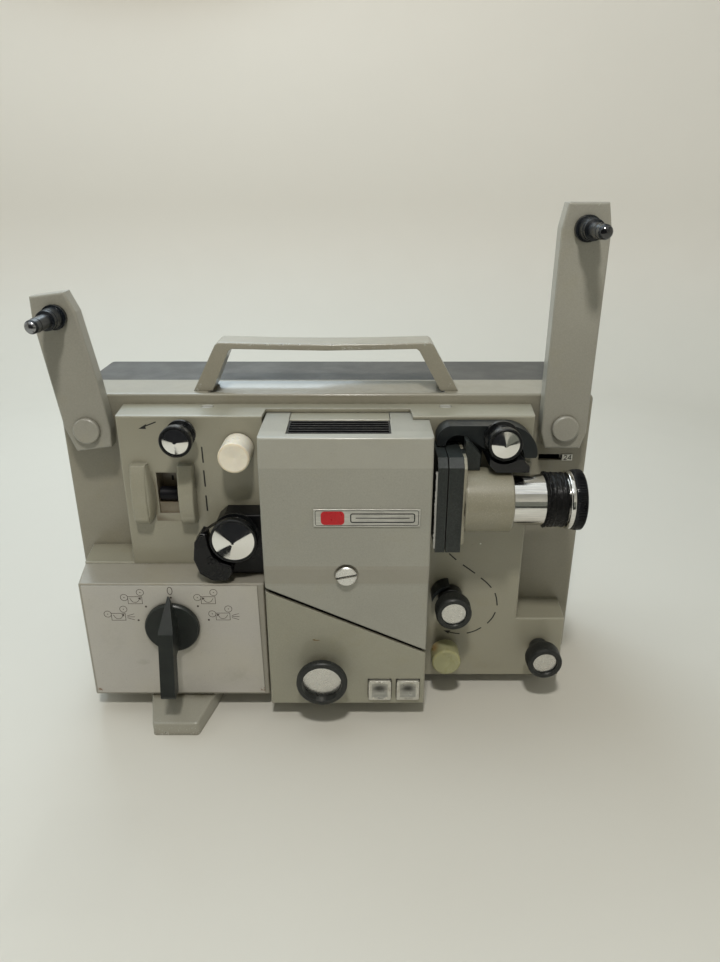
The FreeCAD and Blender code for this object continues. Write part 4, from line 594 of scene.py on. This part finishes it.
ASSIGN = {
    "rear_casting": "casting", "carrying_handle": "handle", "lamp_house_cover": "cover", "lamp_house_base": "base",
    "support_foot": "foot", "film_deck": "deck", "rear_cover": "shell", "control_box": "box", "control_panel": "panel",
    "badge_plate": "badge", "vent_grille": "grille", "gate_plate": "gate", "gate_pressure_plate": "gate",
    "sound_head_block": "sound", "case_screws": "screw_pale", "arm_pivot_bolts": "pivot", "film_inlet_guide": "guide",
    "guide_shoe": "shoe", "rubber_feet": "rubber", "lamp_bulb": "bulb", "lamp_reflector": "reflector",
    "transformer": "iron", "drive_motor": "iron", "amplifier_board": "board", "mains_inlet": "socket",
    "socket_plate": "socket", "loudspeaker": "socket", "left_arm": "arm", "right_arm": "arm",
    "take_up_spindle": "spindle", "supply_spindle": "spindle", "snubber_roller": "roller_black",
    "snubber_cap": "cap_snub", "upper_white_roller": "ivory", "lower_white_roller": "green",
    "sound_drum": "roller_black", "sound_drum_cap": "cap_drum", "upper_sprocket": "roller_black",
    "upper_sprocket_cap": "cap_upper", "lower_sprocket": "charcoal", "lower_sprocket_disc": "disc_lower",
    "motor_shaft_and_fan": "steel", "main_shaft_and_shutter": "steel", "elevation_knob": "charcoal",
    "elevation_knob_disc": "disc_elev", "elevating_foot": "steel", "volume_knob": "charcoal",
    "volume_knob_disc": "disc_volume", "selector_knob": "selector", "coin_screw": "coin",
    "left_push_button": "btn_l", "right_push_button": "btn_r", "pressure_arm": "arm_black",
    "framing_wheel": "wheel", "speed_slider": "slider", "lens_carrier": "carrier", "lens_barrel": "chrome",
    "lens_grip_band": "rubber_band", "lens_glass": "glass", "zoom_ring": "zoom_black",
    "lower_sprocket_guard": "guide",
}
for node, key in ASSIGN.items():
    data = NODES[node].data
    for i in range(max(1, len(data.materials))):
        if i < len(data.materials):
            data.materials[i] = M[key]
        else:
            data.materials.append(M[key])


# ---------------------------------------------------------------- mesh helpers
def finish_mesh(name, verts, faces, mat, body, sharp=32.0, replaces=()):
    me = bpy.data.meshes.new(name)
    me.from_pydata([tuple(B(*v)) for v in verts], [], faces)
    bm = bmesh.new()
    bm.from_mesh(me)
    bmesh.ops.recalc_face_normals(bm, faces=bm.faces)
    bm.to_mesh(me)
    bm.free()
    for p in me.polygons:
        p.use_smooth = True
    me.set_sharp_from_angle(angle=math.radians(sharp))
    me.materials.append(M[mat])
    o = bpy.data.objects.new(name, me)
    bpy.context.scene.collection.objects.link(o)
    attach(o, body)
    if replaces:
        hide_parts(*replaces)
    return o


def soften(prof, r, n=3, loop=False):
    """Rounds the corners of a profile of (radius, along) points."""
    out = []
    count = len(prof)
    for i, p in enumerate(prof):
        if not loop and (i == 0 or i == count - 1):
            out.append(p)
            continue
        a, c = Vector(prof[i - 1]), Vector(prof[(i + 1) % count])
        b = Vector(p)
        la, lc = (a - b).length, (c - b).length
        d = min(r, la * 0.42, lc * 0.42)
        if d < 1e-4 or (a - b).angle(b - c) < math.radians(8):
            out.append(p)
            continue
        s, e = b + (a - b).normalized() * d, b + (c - b).normalized() * d
        for k in range(n + 1):
            t = k / n
            q = s * (1 - t) ** 2 + b * 2 * t * (1 - t) + e * t * t
            out.append((q.x, q.y))
    return out


def lathe(name, prof, centre, segs, mat, body, axis="Y", loop=True, rib=None, sharp=32.0, replaces=()):
    """Turns a profile of (radius, along) in bench mm about an axis; rib(theta, i, r, t) may change the radius."""
    verts, faces, rings = [], [], []
    for i, (r, t) in enumerate(prof):
        if r < 1e-6:
            rings.append([len(verts)])
            verts.append((centre[0], t, centre[1]) if axis == "Y" else (t, centre[0], centre[1]))
            continue
        ids = []
        for k in range(segs):
            th = 2 * math.pi * k / segs
            rr = rib(th, k, r, t) if rib else r
            ids.append(len(verts))
            c, s = rr * math.cos(th), rr * math.sin(th)
            verts.append((centre[0] + c, t, centre[1] + s) if axis == "Y" else (t, centre[0] + c, centre[1] + s))
        rings.append(ids)
    pairs = list(zip(rings, rings[1:])) + ([(rings[-1], rings[0])] if loop else [])
    for a, b in pairs:
        if len(a) == 1 and len(b) == 1:
            continue
        for k in range(segs):
            j = (k + 1) % segs
            if len(a) == 1:
                faces.append((a[0], b[k], b[j]))
            elif len(b) == 1:
                faces.append((a[k], b[0], a[j]))
            else:
                faces.append((a[k], b[k], b[j], a[j]))
    return finish_mesh(name, verts, faces, mat, body, sharp, replaces)


class Flat:
    """Thin printed shapes on a plane of constant Y, gathered in one closed mesh each."""

    def __init__(self, y, thick=0.05, sink=0.03):
        self.y0, self.y1 = y + sink, y - thick
        self.v, self.f = [], []

    def poly(self, pts):
        n, base = len(pts), len(self.v)
        self.v += [(x, self.y1, z) for x, z in pts] + [(x, self.y0, z) for x, z in pts]
        self.f.append(tuple(base + i for i in range(n)))
        self.f.append(tuple(base + n + i for i in reversed(range(n))))
        for i in range(n):
            j = (i + 1) % n
            self.f.append((base + i, base + n + i, base + n + j, base + j))

    def strip(self, pts, w, closed=False):
        """A line of constant width as one ribbon, mitred at its corners."""
        p = [Vector(q) for q in pts]
        n = len(p)
        left, right = [], []
        for i in range(n):
            a = p[i - 1] if (i or closed) else None
            c = p[(i + 1) % n] if (i < n - 1 or closed) else None
            d1 = (p[i] - a).normalized() if a is not None else None
            d2 = (c - p[i]).normalized() if c is not None else None
            d1, d2 = d1 or d2, d2 or d1
            t = (d1 + d2).normalized() if (d1 + d2).length > 1e-6 else d1
            nrm = Vector((-t.y, t.x))
            k = max(0.35, nrm.dot(Vector((-d1.y, d1.x))))
            left.append(p[i] + nrm * (w / 2 / k))
            right.append(p[i] - nrm * (w / 2 / k))
        base, m = len(self.v), n
        for y in (self.y1, self.y0):
            self.v += [(q.x, y, q.y) for q in left] + [(q.x, y, q.y) for q in right]
        L, R, l2, r2 = base, base + m, base + 2 * m, base + 3 * m
        last = n if closed else n - 1
        for i in range(last):
            j = (i + 1) % n
            self.f += [(L + i, R + i, R + j, L + j), (l2 + j, r2 + j, r2 + i, l2 + i),
                       (L + j, l2 + j, l2 + i, L + i), (R + i, r2 + i, r2 + j, R + j)]
        if not closed:
            self.f += [(L, l2, r2, R), (R + n - 1, r2 + n - 1, l2 + n - 1, L + n - 1)]

    def ring(self, cx, cz, r, w, n=40, squash=1.0):
        self.strip([(cx + r * math.cos(2 * math.pi * k / n), cz + squash * r * math.sin(2 * math.pi * k / n))
                    for k in range(n)], w, closed=True)

    def dot(self, cx, cz, r, n=18):
        self.poly([(cx + r * math.cos(2 * math.pi * k / n), cz + r * math.sin(2 * math.pi * k / n)) for k in range(n)])

    def make(self, name, mat, body):
        return finish_mesh(name, self.v, self.f, mat, body, 30.0)


def spline(pts, n=8):
    """Smooth points through the given ones."""
    out = []
    P = [Vector(p) for p in pts]
    for i in range(len(P) - 1):
        a, b = P[i], P[i + 1]
        p0 = P[i - 1] if i else a * 2 - b
        p3 = P[i + 2] if i + 2 < len(P) else b * 2 - a
        for k in range(n):
            t = k / n
            q = 0.5 * ((2 * a) + (b - p0) * t + (2 * p0 - 5 * a + 4 * b - p3) * t * t + (3 * a - p0 - 3 * b + p3) * t ** 3)
            out.append(tuple(q))
    out.append(tuple(P[-1]))
    return out


# ---------------------------------------------------------------- knobs: the fine ribs on their skirts
def ribs(depth):
    def f(th, k, r, t):
        return r + (depth if k % 4 in (0, 1) else 0.0)
    return f


def sleeve(name, centre, outer, inner, count, mat, body, depth=0.28, axis="Y"):
    """A ribbed sleeve over a knob. outer is a list of (radius, along), inner one radius for its hidden side."""
    prof = list(outer) + [(inner, outer[-1][1]), (inner, outer[0][1])]

    def f(th, k, r, t):
        if r <= inner + 1e-6 or abs(t - outer[0][1]) < 1e-6 or abs(t - outer[-1][1]) < 1e-6:
            return r
        return r + (depth if k % 4 in (0, 1) else 0.0)
    return lathe(name, prof, centre, count * 4, mat, body, axis, True, f, 28.0)


sleeve("volume_knob_ribs", (-24.6, 40.9), [(16.0, -77.3), (16.22, -77.0), (16.26, -75.4), (16.22, -74.0), (16.0, -73.75)],
       14.9, 96, "charcoal", "volume_knob", 0.22)
sleeve("elevation_knob_ribs", (126.4, 35.8), [(11.3, -49.2), (11.46, -48.9), (11.72, -41.2), (11.4, -39.0), (11.2, -38.7)],
       10.4, 84, "charcoal", "elevation_knob", 0.20)
sleeve("lower_sprocket_ribs", (61.8, 77.2), [(11.4, -52.1), (11.56, -51.8), (11.66, -47.5), (11.74, -43.4), (11.6, -43.1)],
       10.4, 84, "charcoal", "lower_sprocket", 0.20)

# the zoom ring: a bright front band, then the knurled black grip
lathe("zoom_ring_bezel", soften([(15.8, 126.25), (17.6, 126.25), (18.1, 126.7), (18.25, 127.4), (18.2, 128.6), (18.0, 129.2), (17.6, 129.4), (15.8, 129.4)], 0.25, 3, True),
      (-48.0, 158.2), 180, "chrome", "zoom_ring", "X", True, None, 30.0, ("zoom_ring",))


def knurl(th, k, r, t):
    if r > 17.7 and 130.0 < t < 135.9:
        return r + (0.34 if k % 4 in (0, 1) else -0.42)
    return r


lathe("zoom_ring_grip", soften([(13.4, 136.4), (13.4, 127.6), (15.8, 127.6), (15.8, 129.3), (17.9, 129.3), (18.1, 129.6), (18.35, 129.75)], 0.15, 2)
      + [(18.4, 130.0), (18.55, 132.0), (18.6, 134.0), (18.45, 135.6), (17.95, 136.2), (17.5, 136.4), (16.9, 136.4), (16.5, 136.0), (15.0, 135.8), (14.2, 136.3)],
      (-48.0, 158.2), 4 * 110, "zoom_black", "zoom_ring", "X", True, knurl, 28.0)


# ---------------------------------------------------------------- the perished rubber band on the lens
def band_radius(th, x):
    c, s = math.cos(th), math.sin(th)
    wrinkle = mnoise.noise(Vector((c * 5.0, s * 5.0, x * 0.55)))
    small = mnoise.noise(Vector((c * 16.0 + 7.0, s * 16.0, x * 1.5)))
    r = 16.75 + 0.40 * wrinkle + 0.22 * small
    # raised hoops that run round it, with the leftmost ones torn into a fringe
    for hoop, h in ((113.2, 0.9), (115.2, 0.75), (117.6, 0.45), (121.0, 0.3), (124.2, 0.5)):
        wob = hoop + 0.35 * mnoise.noise(Vector((c * 2.2, s * 2.2, hoop)))
        g = math.exp(-((x - wob) / 0.42) ** 2)
        tear = 1.0
        if hoop < 116.6:
            tear = max(0.0, 0.55 + 1.5 * mnoise.noise(Vector((c * 9.0, s * 9.0, hoop * 3.1))))
            if s > 0.2:
                tear *= 1.25
        r += h * g * tear
    if x < 112.8:
        r -= 0.7 * (112.8 - x) / 0.6
    if x > 125.2:
        r -= 0.6 * (x - 125.2) / 0.6
    return max(15.95, min(17.75, r))


def make_band():
    segs, xs = 300, [112.2 + 13.6 * i / 54 for i in range(55)]
    prof = [(20.0, x) for x in xs] + [(15.76, xs[-1]), (15.76, xs[0])]

    def f(th, k, r, t):
        return band_radius(th, t) if r > 16 else r
    lathe("lens_grip_band_worn", prof, (-48.0, 158.2), segs, "rubber_band", "lens_barrel", "X", True, f, 50.0,
          ("lens_grip_band",))


make_band()

# ---------------------------------------------------------------- sprocket teeth
def teeth(name, centre, y, r0, r1, count, mat, body, half=0.55, width=0.5):
    v, f = [], []
    for k in range(count):
        th = 2 * math.pi * (k + 0.5) / count
        u, w = Vector((math.cos(th), math.sin(th))), Vector((-math.sin(th), math.cos(th)))
        base = len(v)
        for r, s in ((r0, 1.0), ((r0 + r1) / 2 + 0.1, 0.78), (r1, 0.4)):
            for dy, dw in ((-half, -width), (-half, width), (half, width), (half, -width)):
                p = Vector(centre) + u * r + w * dw * s
                v.append((p.x, y + dy * s, p.y))
        for lay in range(2):
            a = base + 4 * lay
            for i in range(4):
                j = (i + 1) % 4
                f.append((a + i, a + j, a + 4 + j, a + 4 + i))
        f.append((base + 3, base + 2, base + 1, base))
        f.append((base + 8, base + 9, base + 10, base + 11))
    finish_mesh(name, v, f, mat, body, 50.0)


teeth("upper_sprocket_teeth", (85.9, 196.8), -50.4, 8.0, 9.0, 12, "roller_black", "upper_sprocket")
teeth("lower_sprocket_teeth", (61.8, 77.2), -40.2, 7.8, 8.9, 12, "charcoal", "lower_sprocket")

# ---------------------------------------------------------------- glossy tips on the two reel spindles
for side, c, body in (("left", (-182.649, 265.416), "take_up_spindle"), ("right", (130.0, 315.5), "supply_spindle")):
    lathe("%s_spindle_tip" % side, [(0.0, -56.3), (0.5, -56.15), (3.0, -55.35), (3.2, -55.1), (3.2, -54.6), (0.0, -54.6)], c, 64,
          "tip_left" if side == "left" else "tip_dark", body, "Y", False, None, 34.0)

# ---------------------------------------------------------------- printed marks on the film deck
marks = Flat(-27.0)
W = 0.9


def taper_dash(flat, pts, w):
    flat.strip(spline(pts, 5) if len(pts) > 2 else pts, w)


marks.strip([(-127.4, 201.75), (-134.6, 198.9)], 0.75)
marks.poly([(-138.7, 197.3), (-133.2, 200.6), (-134.3, 198.95), (-133.9, 197.1)])
for z0, z1 in ((185.3, 174.5), (169.3, 157.95), (151.7, 140.75)):
    marks.strip([(-100.15, z0), (-100.0, z1)], W)
for pts in (((59.9, 109.2), (62.5, 106.6), (65.0, 104.25)),
            ((69.7, 100.5), (74.0, 97.2), (78.3, 93.9)),
            ((82.45, 90.35), (86.6, 86.7), (90.2, 82.65)),
            ((93.0, 78.35), (94.3, 74.0), (95.2, 68.4)),
            ((94.3, 62.9), (92.4, 58.2), (89.3, 53.8)),
            ((85.3, 50.3), (80.6, 47.4), (75.4, 45.6)),
            ((70.3, 45.2), (66.4, 45.7), (62.6, 46.7))):
    marks.strip(spline(pts, 5), W)
marks.poly([(58.9, 47.9), (62.5, 45.1), (62.7, 46.6), (63.9, 47.9)])
marks.make("deck_printed_marks", "ink_black", "housing")

# ---------------------------------------------------------------- printed marks on the control panel
pm = Flat(-53.4, 0.04, 0.03)
LW = 0.34
# the resting place of the selector, and its four other places
pm.ring(-122.95, 96.0, 1.55, 0.48, 36, 1.75)
for x, z in ((-122.7, 90.95), (-139.55, 84.2), (-145.55, 73.75), (-105.65, 84.5), (-99.35, 74.05)):
    pm.dot(x, z, 0.72)


def pictogram(px, pz, mirrored, beam):
    """A small machine: two reels over a box with the film's path, an arrow, and a beam when the lamp is on."""
    pm.ring(px, pz, 2.35, LW)
    pm.dot(px, pz, 0.36, 10)
    pm.ring(px + 10.75, pz + 3.75, 2.35, LW)
    pm.dot(px + 10.75, pz + 3.75, 0.36, 10)
    bx0, bx1, bz0, bz1 = px + 2.35, px + 11.5, pz + 0.6, pz - 4.7
    pm.strip([(bx0, bz0), (bx1, bz0), (bx1, bz1), (bx0, bz1)], LW, True)
    path = [(bx0 + 1.3, bz0 - 1.2), (bx0 + 2.8, bz1 + 1.6), (bx0 + 4.6, bz1 + 1.1), (bx0 + 6.3, bz1 + 1.7), (bx1 - 1.4, bz0 - 1.3)]
    pm.strip(spline(path, 5), LW)
    if mirrored:
        pm.poly([(bx0 + 0.5, bz0 - 0.5), (bx0 + 2.5, bz0 - 0.9), (bx0 + 0.9, bz0 - 2.4)])
    else:
        pm.poly([(bx1 - 0.6, bz0 - 0.5), (bx1 - 1.0, bz0 - 2.5), (bx1 - 2.6, bz0 - 0.9)])
    if beam:
        ex = bx1 + 1.2
        pm.strip([(ex, bz0 - 1.9), (ex + 4.6, bz0 - 0.4)], LW)
        pm.strip([(ex, bz0 - 2.7), (ex + 5.0, bz0 - 2.7)], LW)
        pm.strip([(ex, bz0 - 3.5), (ex + 4.6, bz0 - 5.0)], LW)


pictogram(-153.05, 91.05, False, False)
pictogram(-165.3, 78.45, False, True)
pictogram(-105.5, 91.05, True, False)
pictogram(-96.75, 78.65, True, True)
pm.make("control_panel_marks", "ink_brown", "housing")

# ---------------------------------------------------------------- the name plate, left without any name: a plain ornament
def rounded_rect(x0, z0, x1, z1, r, n=6):
    pts = []
    for cx, cz, a0 in ((x1 - r, z1 - r, 0), (x0 + r, z1 - r, 90), (x0 + r, z0 + r, 180), (x1 - r, z0 + r, 270)):
        for k in range(n + 1):
            a = math.radians(a0 + 90 * k / n)
            pts.append((cx + r * math.cos(a), cz + r * math.sin(a)))
    return pts


bl = Flat(-64.9, 0.05, 0.03)
bl.strip(rounded_rect(-26.9, 148.5, 35.2, 158.3, 1.2), 0.35, True)
bl.strip(rounded_rect(-5.6, 150.6, 32.8, 156.2, 1.1), 0.7, True)
bl.strip([(-2.6, 153.4), (29.8, 153.4)], 0.55)
bl.make("badge_black_lines", "ink_black", "housing")
br = Flat(-64.9, 0.25, 0.03)
br.poly(rounded_rect(-23.6, 149.0, -9.4, 157.8, 2.4))
br.make("badge_red_field", "ink_red", "housing")

# ---------------------------------------------------------------- "24" on the speed slider's white tab
tab = Flat(-1.2, 0.12, 0.05)
tab.poly(rounded_rect(136.3, 166.45, 142.9, 170.3, 0.4, 3))
tab.make("speed_tab_face", "tab_white", "speed_slider")
num = Flat(-1.32, 0.05, 0.03)
num.strip(spline([(137.35, 169.2), (138.0, 169.85), (138.95, 169.75), (139.25, 169.05), (138.6, 168.0), (137.35, 166.9)], 5), 0.5)
num.strip([(137.2, 166.9), (139.5, 166.9)], 0.5)
num.strip([(141.75, 166.75), (141.75, 169.95), (140.15, 167.75), (142.5, 167.75)], 0.48)
num.make("speed_tab_number", "ink_black", "speed_slider")

# ---------------------------------------------------------------- spring blade at the sound drum
def ribbon(name, pts, y0, y1, thick, mat, body, taper=1.0):
    P = [Vector(p) for p in spline(pts, 8)]
    v, f = [], []
    n = len(P)
    for i, p in enumerate(P):
        t = (P[min(i + 1, n - 1)] - P[max(i - 1, 0)]).normalized()
        q = Vector((-t.y, t.x)) * thick / 2 * (1.0 + (taper - 1.0) * i / (n - 1))
        for s, y in ((1, y0), (1, y1), (-1, y1), (-1, y0)):
            v.append((p.x + q.x * s, y, p.y + q.y * s))
    for i in range(n - 1):
        for k in range(4):
            j = (k + 1) % 4
            f.append((4 * i + k, 4 * i + j, 4 * i + 4 + j, 4 * i + 4 + k))
    f.append((3, 2, 1, 0))
    f.append((4 * n - 4, 4 * n - 3, 4 * n - 2, 4 * n - 1))
    finish_mesh(name, v, f, mat, body, 40.0)


ribbon("pressure_arm_blade", [(-103.0, 131.5), (-99.8, 135.2), (-94.5, 140.0), (-89.0, 143.6)], -52.0, -47.5, 0.9, "arm_black",
       "pressure_arm", 0.5)

# ---------------------------------------------------------------- the left finger guard's flared root
def fin_front(z):
    pts = [(133.5, -30.5), (135.6, -34.6), (140.5, -36.2), (151.0, -37.1), (162.0, -35.9), (168.6, -34.6), (174.3, -32.4)]
    for (z0, y0), (z1, y1) in zip(pts, pts[1:]):
        if z <= z1:
            return y0 + (y1 - y0) * (z - z0) / (z1 - z0)
    return pts[-1][1]


def flare():
    v, f = [], []
    zs = [134.6 + 38.4 * k / 24 for k in range(25)]
    for z in zs:
        ya = fin_front(z) + 0.7
        foot = -135.85 + 3.3 * max(0.0, math.sin(math.pi * ((z - 134.6) / 38.4) ** 0.8)) ** 0.8
        span = foot + 136.2
        row = [(-136.25, ya)]
        for k in range(1, 8):
            t = k / 7
            row.append((-136.2 + span * math.sin(t * math.pi / 2), ya + (-27.0 - ya) * (1 - math.cos(t * math.pi / 2))))
        row.append((-136.2 + span * 0.5, -26.9))
        row.append((-136.25, -26.9))
        v += [(x, y, z) for x, y in row]
    n = 10
    for i in range(len(zs) - 1):
        for k in range(n):
            j = (k + 1) % n
            f.append((i * n + k, i * n + j, (i + 1) * n + j, (i + 1) * n + k))
    f.append(tuple(reversed(range(n))))
    f.append(tuple((len(zs) - 1) * n + k for k in range(n)))
    finish_mesh("left_guard_root", v, f, "deck", "housing", 40.0)


flare()

# a small slot in the back of the framing wheel's pocket
slot = Flat(-14.0, 0.06, 0.04)
slot.poly(rounded_rect(-124.7, 157.2, -123.3, 160.6, 0.3, 3))
slot.make("framing_pocket_slot", "sound", "housing")

# a black strip inside the lamp house, behind its diagonal joint: painted shade, so that the joint reads dark and no
# light comes through
joint_shade_strip = Flat(-60.2, 0.2, 0.4)
joint_shade_strip.strip([(-57.5, 101.26), (41.0, 56.37)], 9.0)
joint_shade_strip.make("lamp_joint_shade_strip", "sound", "housing")

# ---------------------------------------------------------------- a pale jagged strip beside the gate
def pale_jagged_strip():
    rnd = random.Random(7)
    v, f = [], []
    n = 64
    for i in range(n + 1):
        z = 131.5 + 50.5 * i / n
        x = 45.15 - 0.75 * rnd.random() * (0.35 + 0.65 * rnd.random())
        for px, py in ((x, -62.3), (46.03, -62.5), (46.03, -61.2), (x + 0.1, -61.3)):
            v.append((px, py, z + 0.25 * (rnd.random() - 0.5)))
    for i in range(n):
        for k in range(4):
            j = (k + 1) % 4
            f.append((4 * i + k, 4 * i + j, 4 * i + 4 + j, 4 * i + 4 + k))
    f.append((3, 2, 1, 0))
    f.append((4 * n, 4 * n + 1, 4 * n + 2, 4 * n + 3))
    finish_mesh("gate_pale_jagged_strip", v, f, "pale_strip", "housing", 20.0)


pale_jagged_strip()

# ---------------------------------------------------------------- the raised ring on the pressure arm
lathe("pressure_arm_boss", soften([(0.0, -54.35), (0.0, -54.55), (1.9, -54.6), (2.2, -54.95), (2.7, -54.95), (2.95, -54.6), (2.95, -54.2), (0.0, -54.2)], 0.1, 2),
      (-94.3, 118.6), 48, "arm_black", "pressure_arm", "Y", False, None, 40.0)

# ---------------------------------------------------------------- stage, light and camera
def stage_bowl():
    m = Mat("stage_pale_table")
    floor, wall = (0.660, 0.642, 0.585), (0.680, 0.640, 0.575)
    _, _, z = m.sep()
    base = m.mix(m.rng(z, 0.02, 0.25), floor, wall)
    col = m.mix(m.rng(m.noise(3.0, 3.0, 0.5), 0.3, 0.7, 0.0, 0.03), base, (0.45, 0.44, 0.40))
    m.set(Base_Color=col, Roughness=m.rng(m.noise(20.0, 3.0), 0.3, 0.7, 0.55, 0.65), Specular_IOR_Level=0.3,
          Normal=m.bump(m.noise(500.0, 2.0), 0.00003, 0.15))
    prof = [(0.0, 0.0), (0.4, 0.0), (0.7, 0.0), (0.86, 0.0)]
    for k in range(1, 17):
        a = math.radians(90 * k / 16)
        prof.append((0.86 + 0.30 * math.sin(a), 0.30 - 0.30 * math.cos(a)))
    prof.append((1.16, 1.35))
    verts, faces, rings = [], [], []
    n = 96
    for r, z in prof:
        if r == 0:
            rings.append([0])
            verts.append((0, 0, z))
            continue
        rings.append([len(verts) + k for k in range(n)])
        verts += [(r * math.cos(2 * math.pi * k / n), r * math.sin(2 * math.pi * k / n), z) for k in range(n)]
    for a, b in zip(rings, rings[1:]):
        for k in range(n):
            j = (k + 1) % n
            faces.append((a[0], b[k], b[j]) if len(a) == 1 else (a[k], b[k], b[j], a[j]))
    me = bpy.data.meshes.new("stage_bowl")
    me.from_pydata(verts, [], faces)
    for p in me.polygons:
        p.use_smooth = True
    me.materials.append(m.m)
    o = bpy.data.objects.new("stage_bowl", me)
    bpy.context.scene.collection.objects.link(o)
    return o


stage_bowl()


def card(name, corners, colour, glow=0.0):
    """A studio flag or reflector that only reflections can see: it gives polished metal its dark and bright halves."""
    m = Mat(name)
    m.set(Base_Color=m.mix(m.rng(m.noise(4.0), 0.3, 0.7), tint(colour, 0.9), tint(colour, 1.1)), Roughness=0.9,
          Specular_IOR_Level=0.0)
    if glow:
        m.set(Emission_Color=m.mix(m.rng(m.noise(2.0), 0.3, 0.7), tint(colour, 0.9), colour), Emission_Strength=glow)
    me = bpy.data.meshes.new(name)
    me.from_pydata(corners, [], [(0, 1, 2, 3)])
    me.materials.append(m.m)
    o = bpy.data.objects.new(name, me)
    bpy.context.scene.collection.objects.link(o)
    for k in ("camera", "diffuse", "transmission", "volume_scatter", "shadow"):
        setattr(o, "visible_" + k, False)
    return o


card("stage_flag_front", [(-0.9, -0.60, 0.005), (0.16, -0.60, 0.005), (0.16, -0.72, 0.85), (-0.9, -0.72, 0.85)], (0.02, 0.02, 0.022))
card("stage_flag_lens", [(0.16, -0.60, 0.005), (0.60, -0.60, 0.005), (0.60, -0.61, 0.10), (0.16, -0.61, 0.10)], (0.05, 0.05, 0.045))
card("stage_flag_grey", [(0.16, -0.61, 0.10), (0.60, -0.61, 0.10), (0.60, -0.64, 0.30), (0.16, -0.64, 0.30)], (0.22, 0.22, 0.19))


def area(name, loc, target, size, power, colour, size_y=None):
    d = bpy.data.lights.new(name, "AREA")
    d.energy = power
    d.color = colour
    d.size = size
    if size_y:
        d.shape = "RECTANGLE"
        d.size_y = size_y
    o = bpy.data.objects.new(name, d)
    bpy.context.scene.collection.objects.link(o)
    o.location = loc
    o.rotation_euler = (Vector(target) - Vector(loc)).to_track_quat("-Z", "Y").to_euler()
    o.visible_camera = False
    return o


card("stage_flag_floor", [(-0.16, -0.212, 0.002), (-0.10, -0.212, 0.002), (-0.10, -0.14, 0.002), (-0.16, -0.14, 0.002)], (0.02, 0.02, 0.02))
card("stage_reflector_top", [(-0.9, -0.95, 1.15), (0.9, -0.95, 1.15), (0.9, 0.25, 1.30), (-0.9, 0.25, 1.30)], (0.90, 0.93, 0.97), 0.34)

area("key_light", (0.0, -0.587, 0.995), (0.0, -0.05, 0.10), 0.09, 5.2, (1.0, 0.968, 0.905))
area("top_light", (-0.25, 0.22, 1.20), (0.0, 0.0, 0.15), 0.8, 4.2, (0.80, 0.92, 1.0))
area("back_light", (-0.30, 0.80, 0.98), (0.0, 0.0, 0.20), 0.6, 5.2, (0.74, 0.89, 1.0))
area("wall_light", (-0.05, 0.45, 1.10), (-0.05, 1.16, 0.85), 0.5, 2.6, (1.0, 0.975, 0.93))
area("left_fill", (-0.95, 0.10, 0.70), (0.0, 0.0, 0.1), 0.5, 0.9, (0.85, 0.94, 1.0))

world = bpy.data.worlds.new("studio_world")
bpy.context.scene.world = world
world.use_nodes = True
bg = world.node_tree.nodes.get("Background") or world.node_tree.nodes.new("ShaderNodeBackground")
bg.inputs["Color"].default_value = (1.0, 0.99, 0.82, 1.0)
bg.inputs["Strength"].default_value = 0.12

cam = bpy.data.cameras.new("camera")
cam.sensor_width = 36.0
cam.sensor_fit = "AUTO"
cam.lens = 27.02
cam.clip_start, cam.clip_end = 0.02, 50.0
cam.dof.use_dof = False
camera = bpy.data.objects.new("camera", cam)
bpy.context.scene.collection.objects.link(camera)
camera.location = (0.0223, -0.4633, 0.340)
camera.rotation_euler = (math.radians(67.5), 0.0, 0.0)
bpy.context.scene.camera = camera

sc = bpy.context.scene
sc.view_settings.view_transform = "Standard"
sc.view_settings.look = "None"
sc.view_settings.exposure = 0.0
sc.cycles.use_denoising = True
sc.cycles.max_bounces = 10
sc.cycles.caustics_reflective = True
sc.cycles.caustics_refractive = False
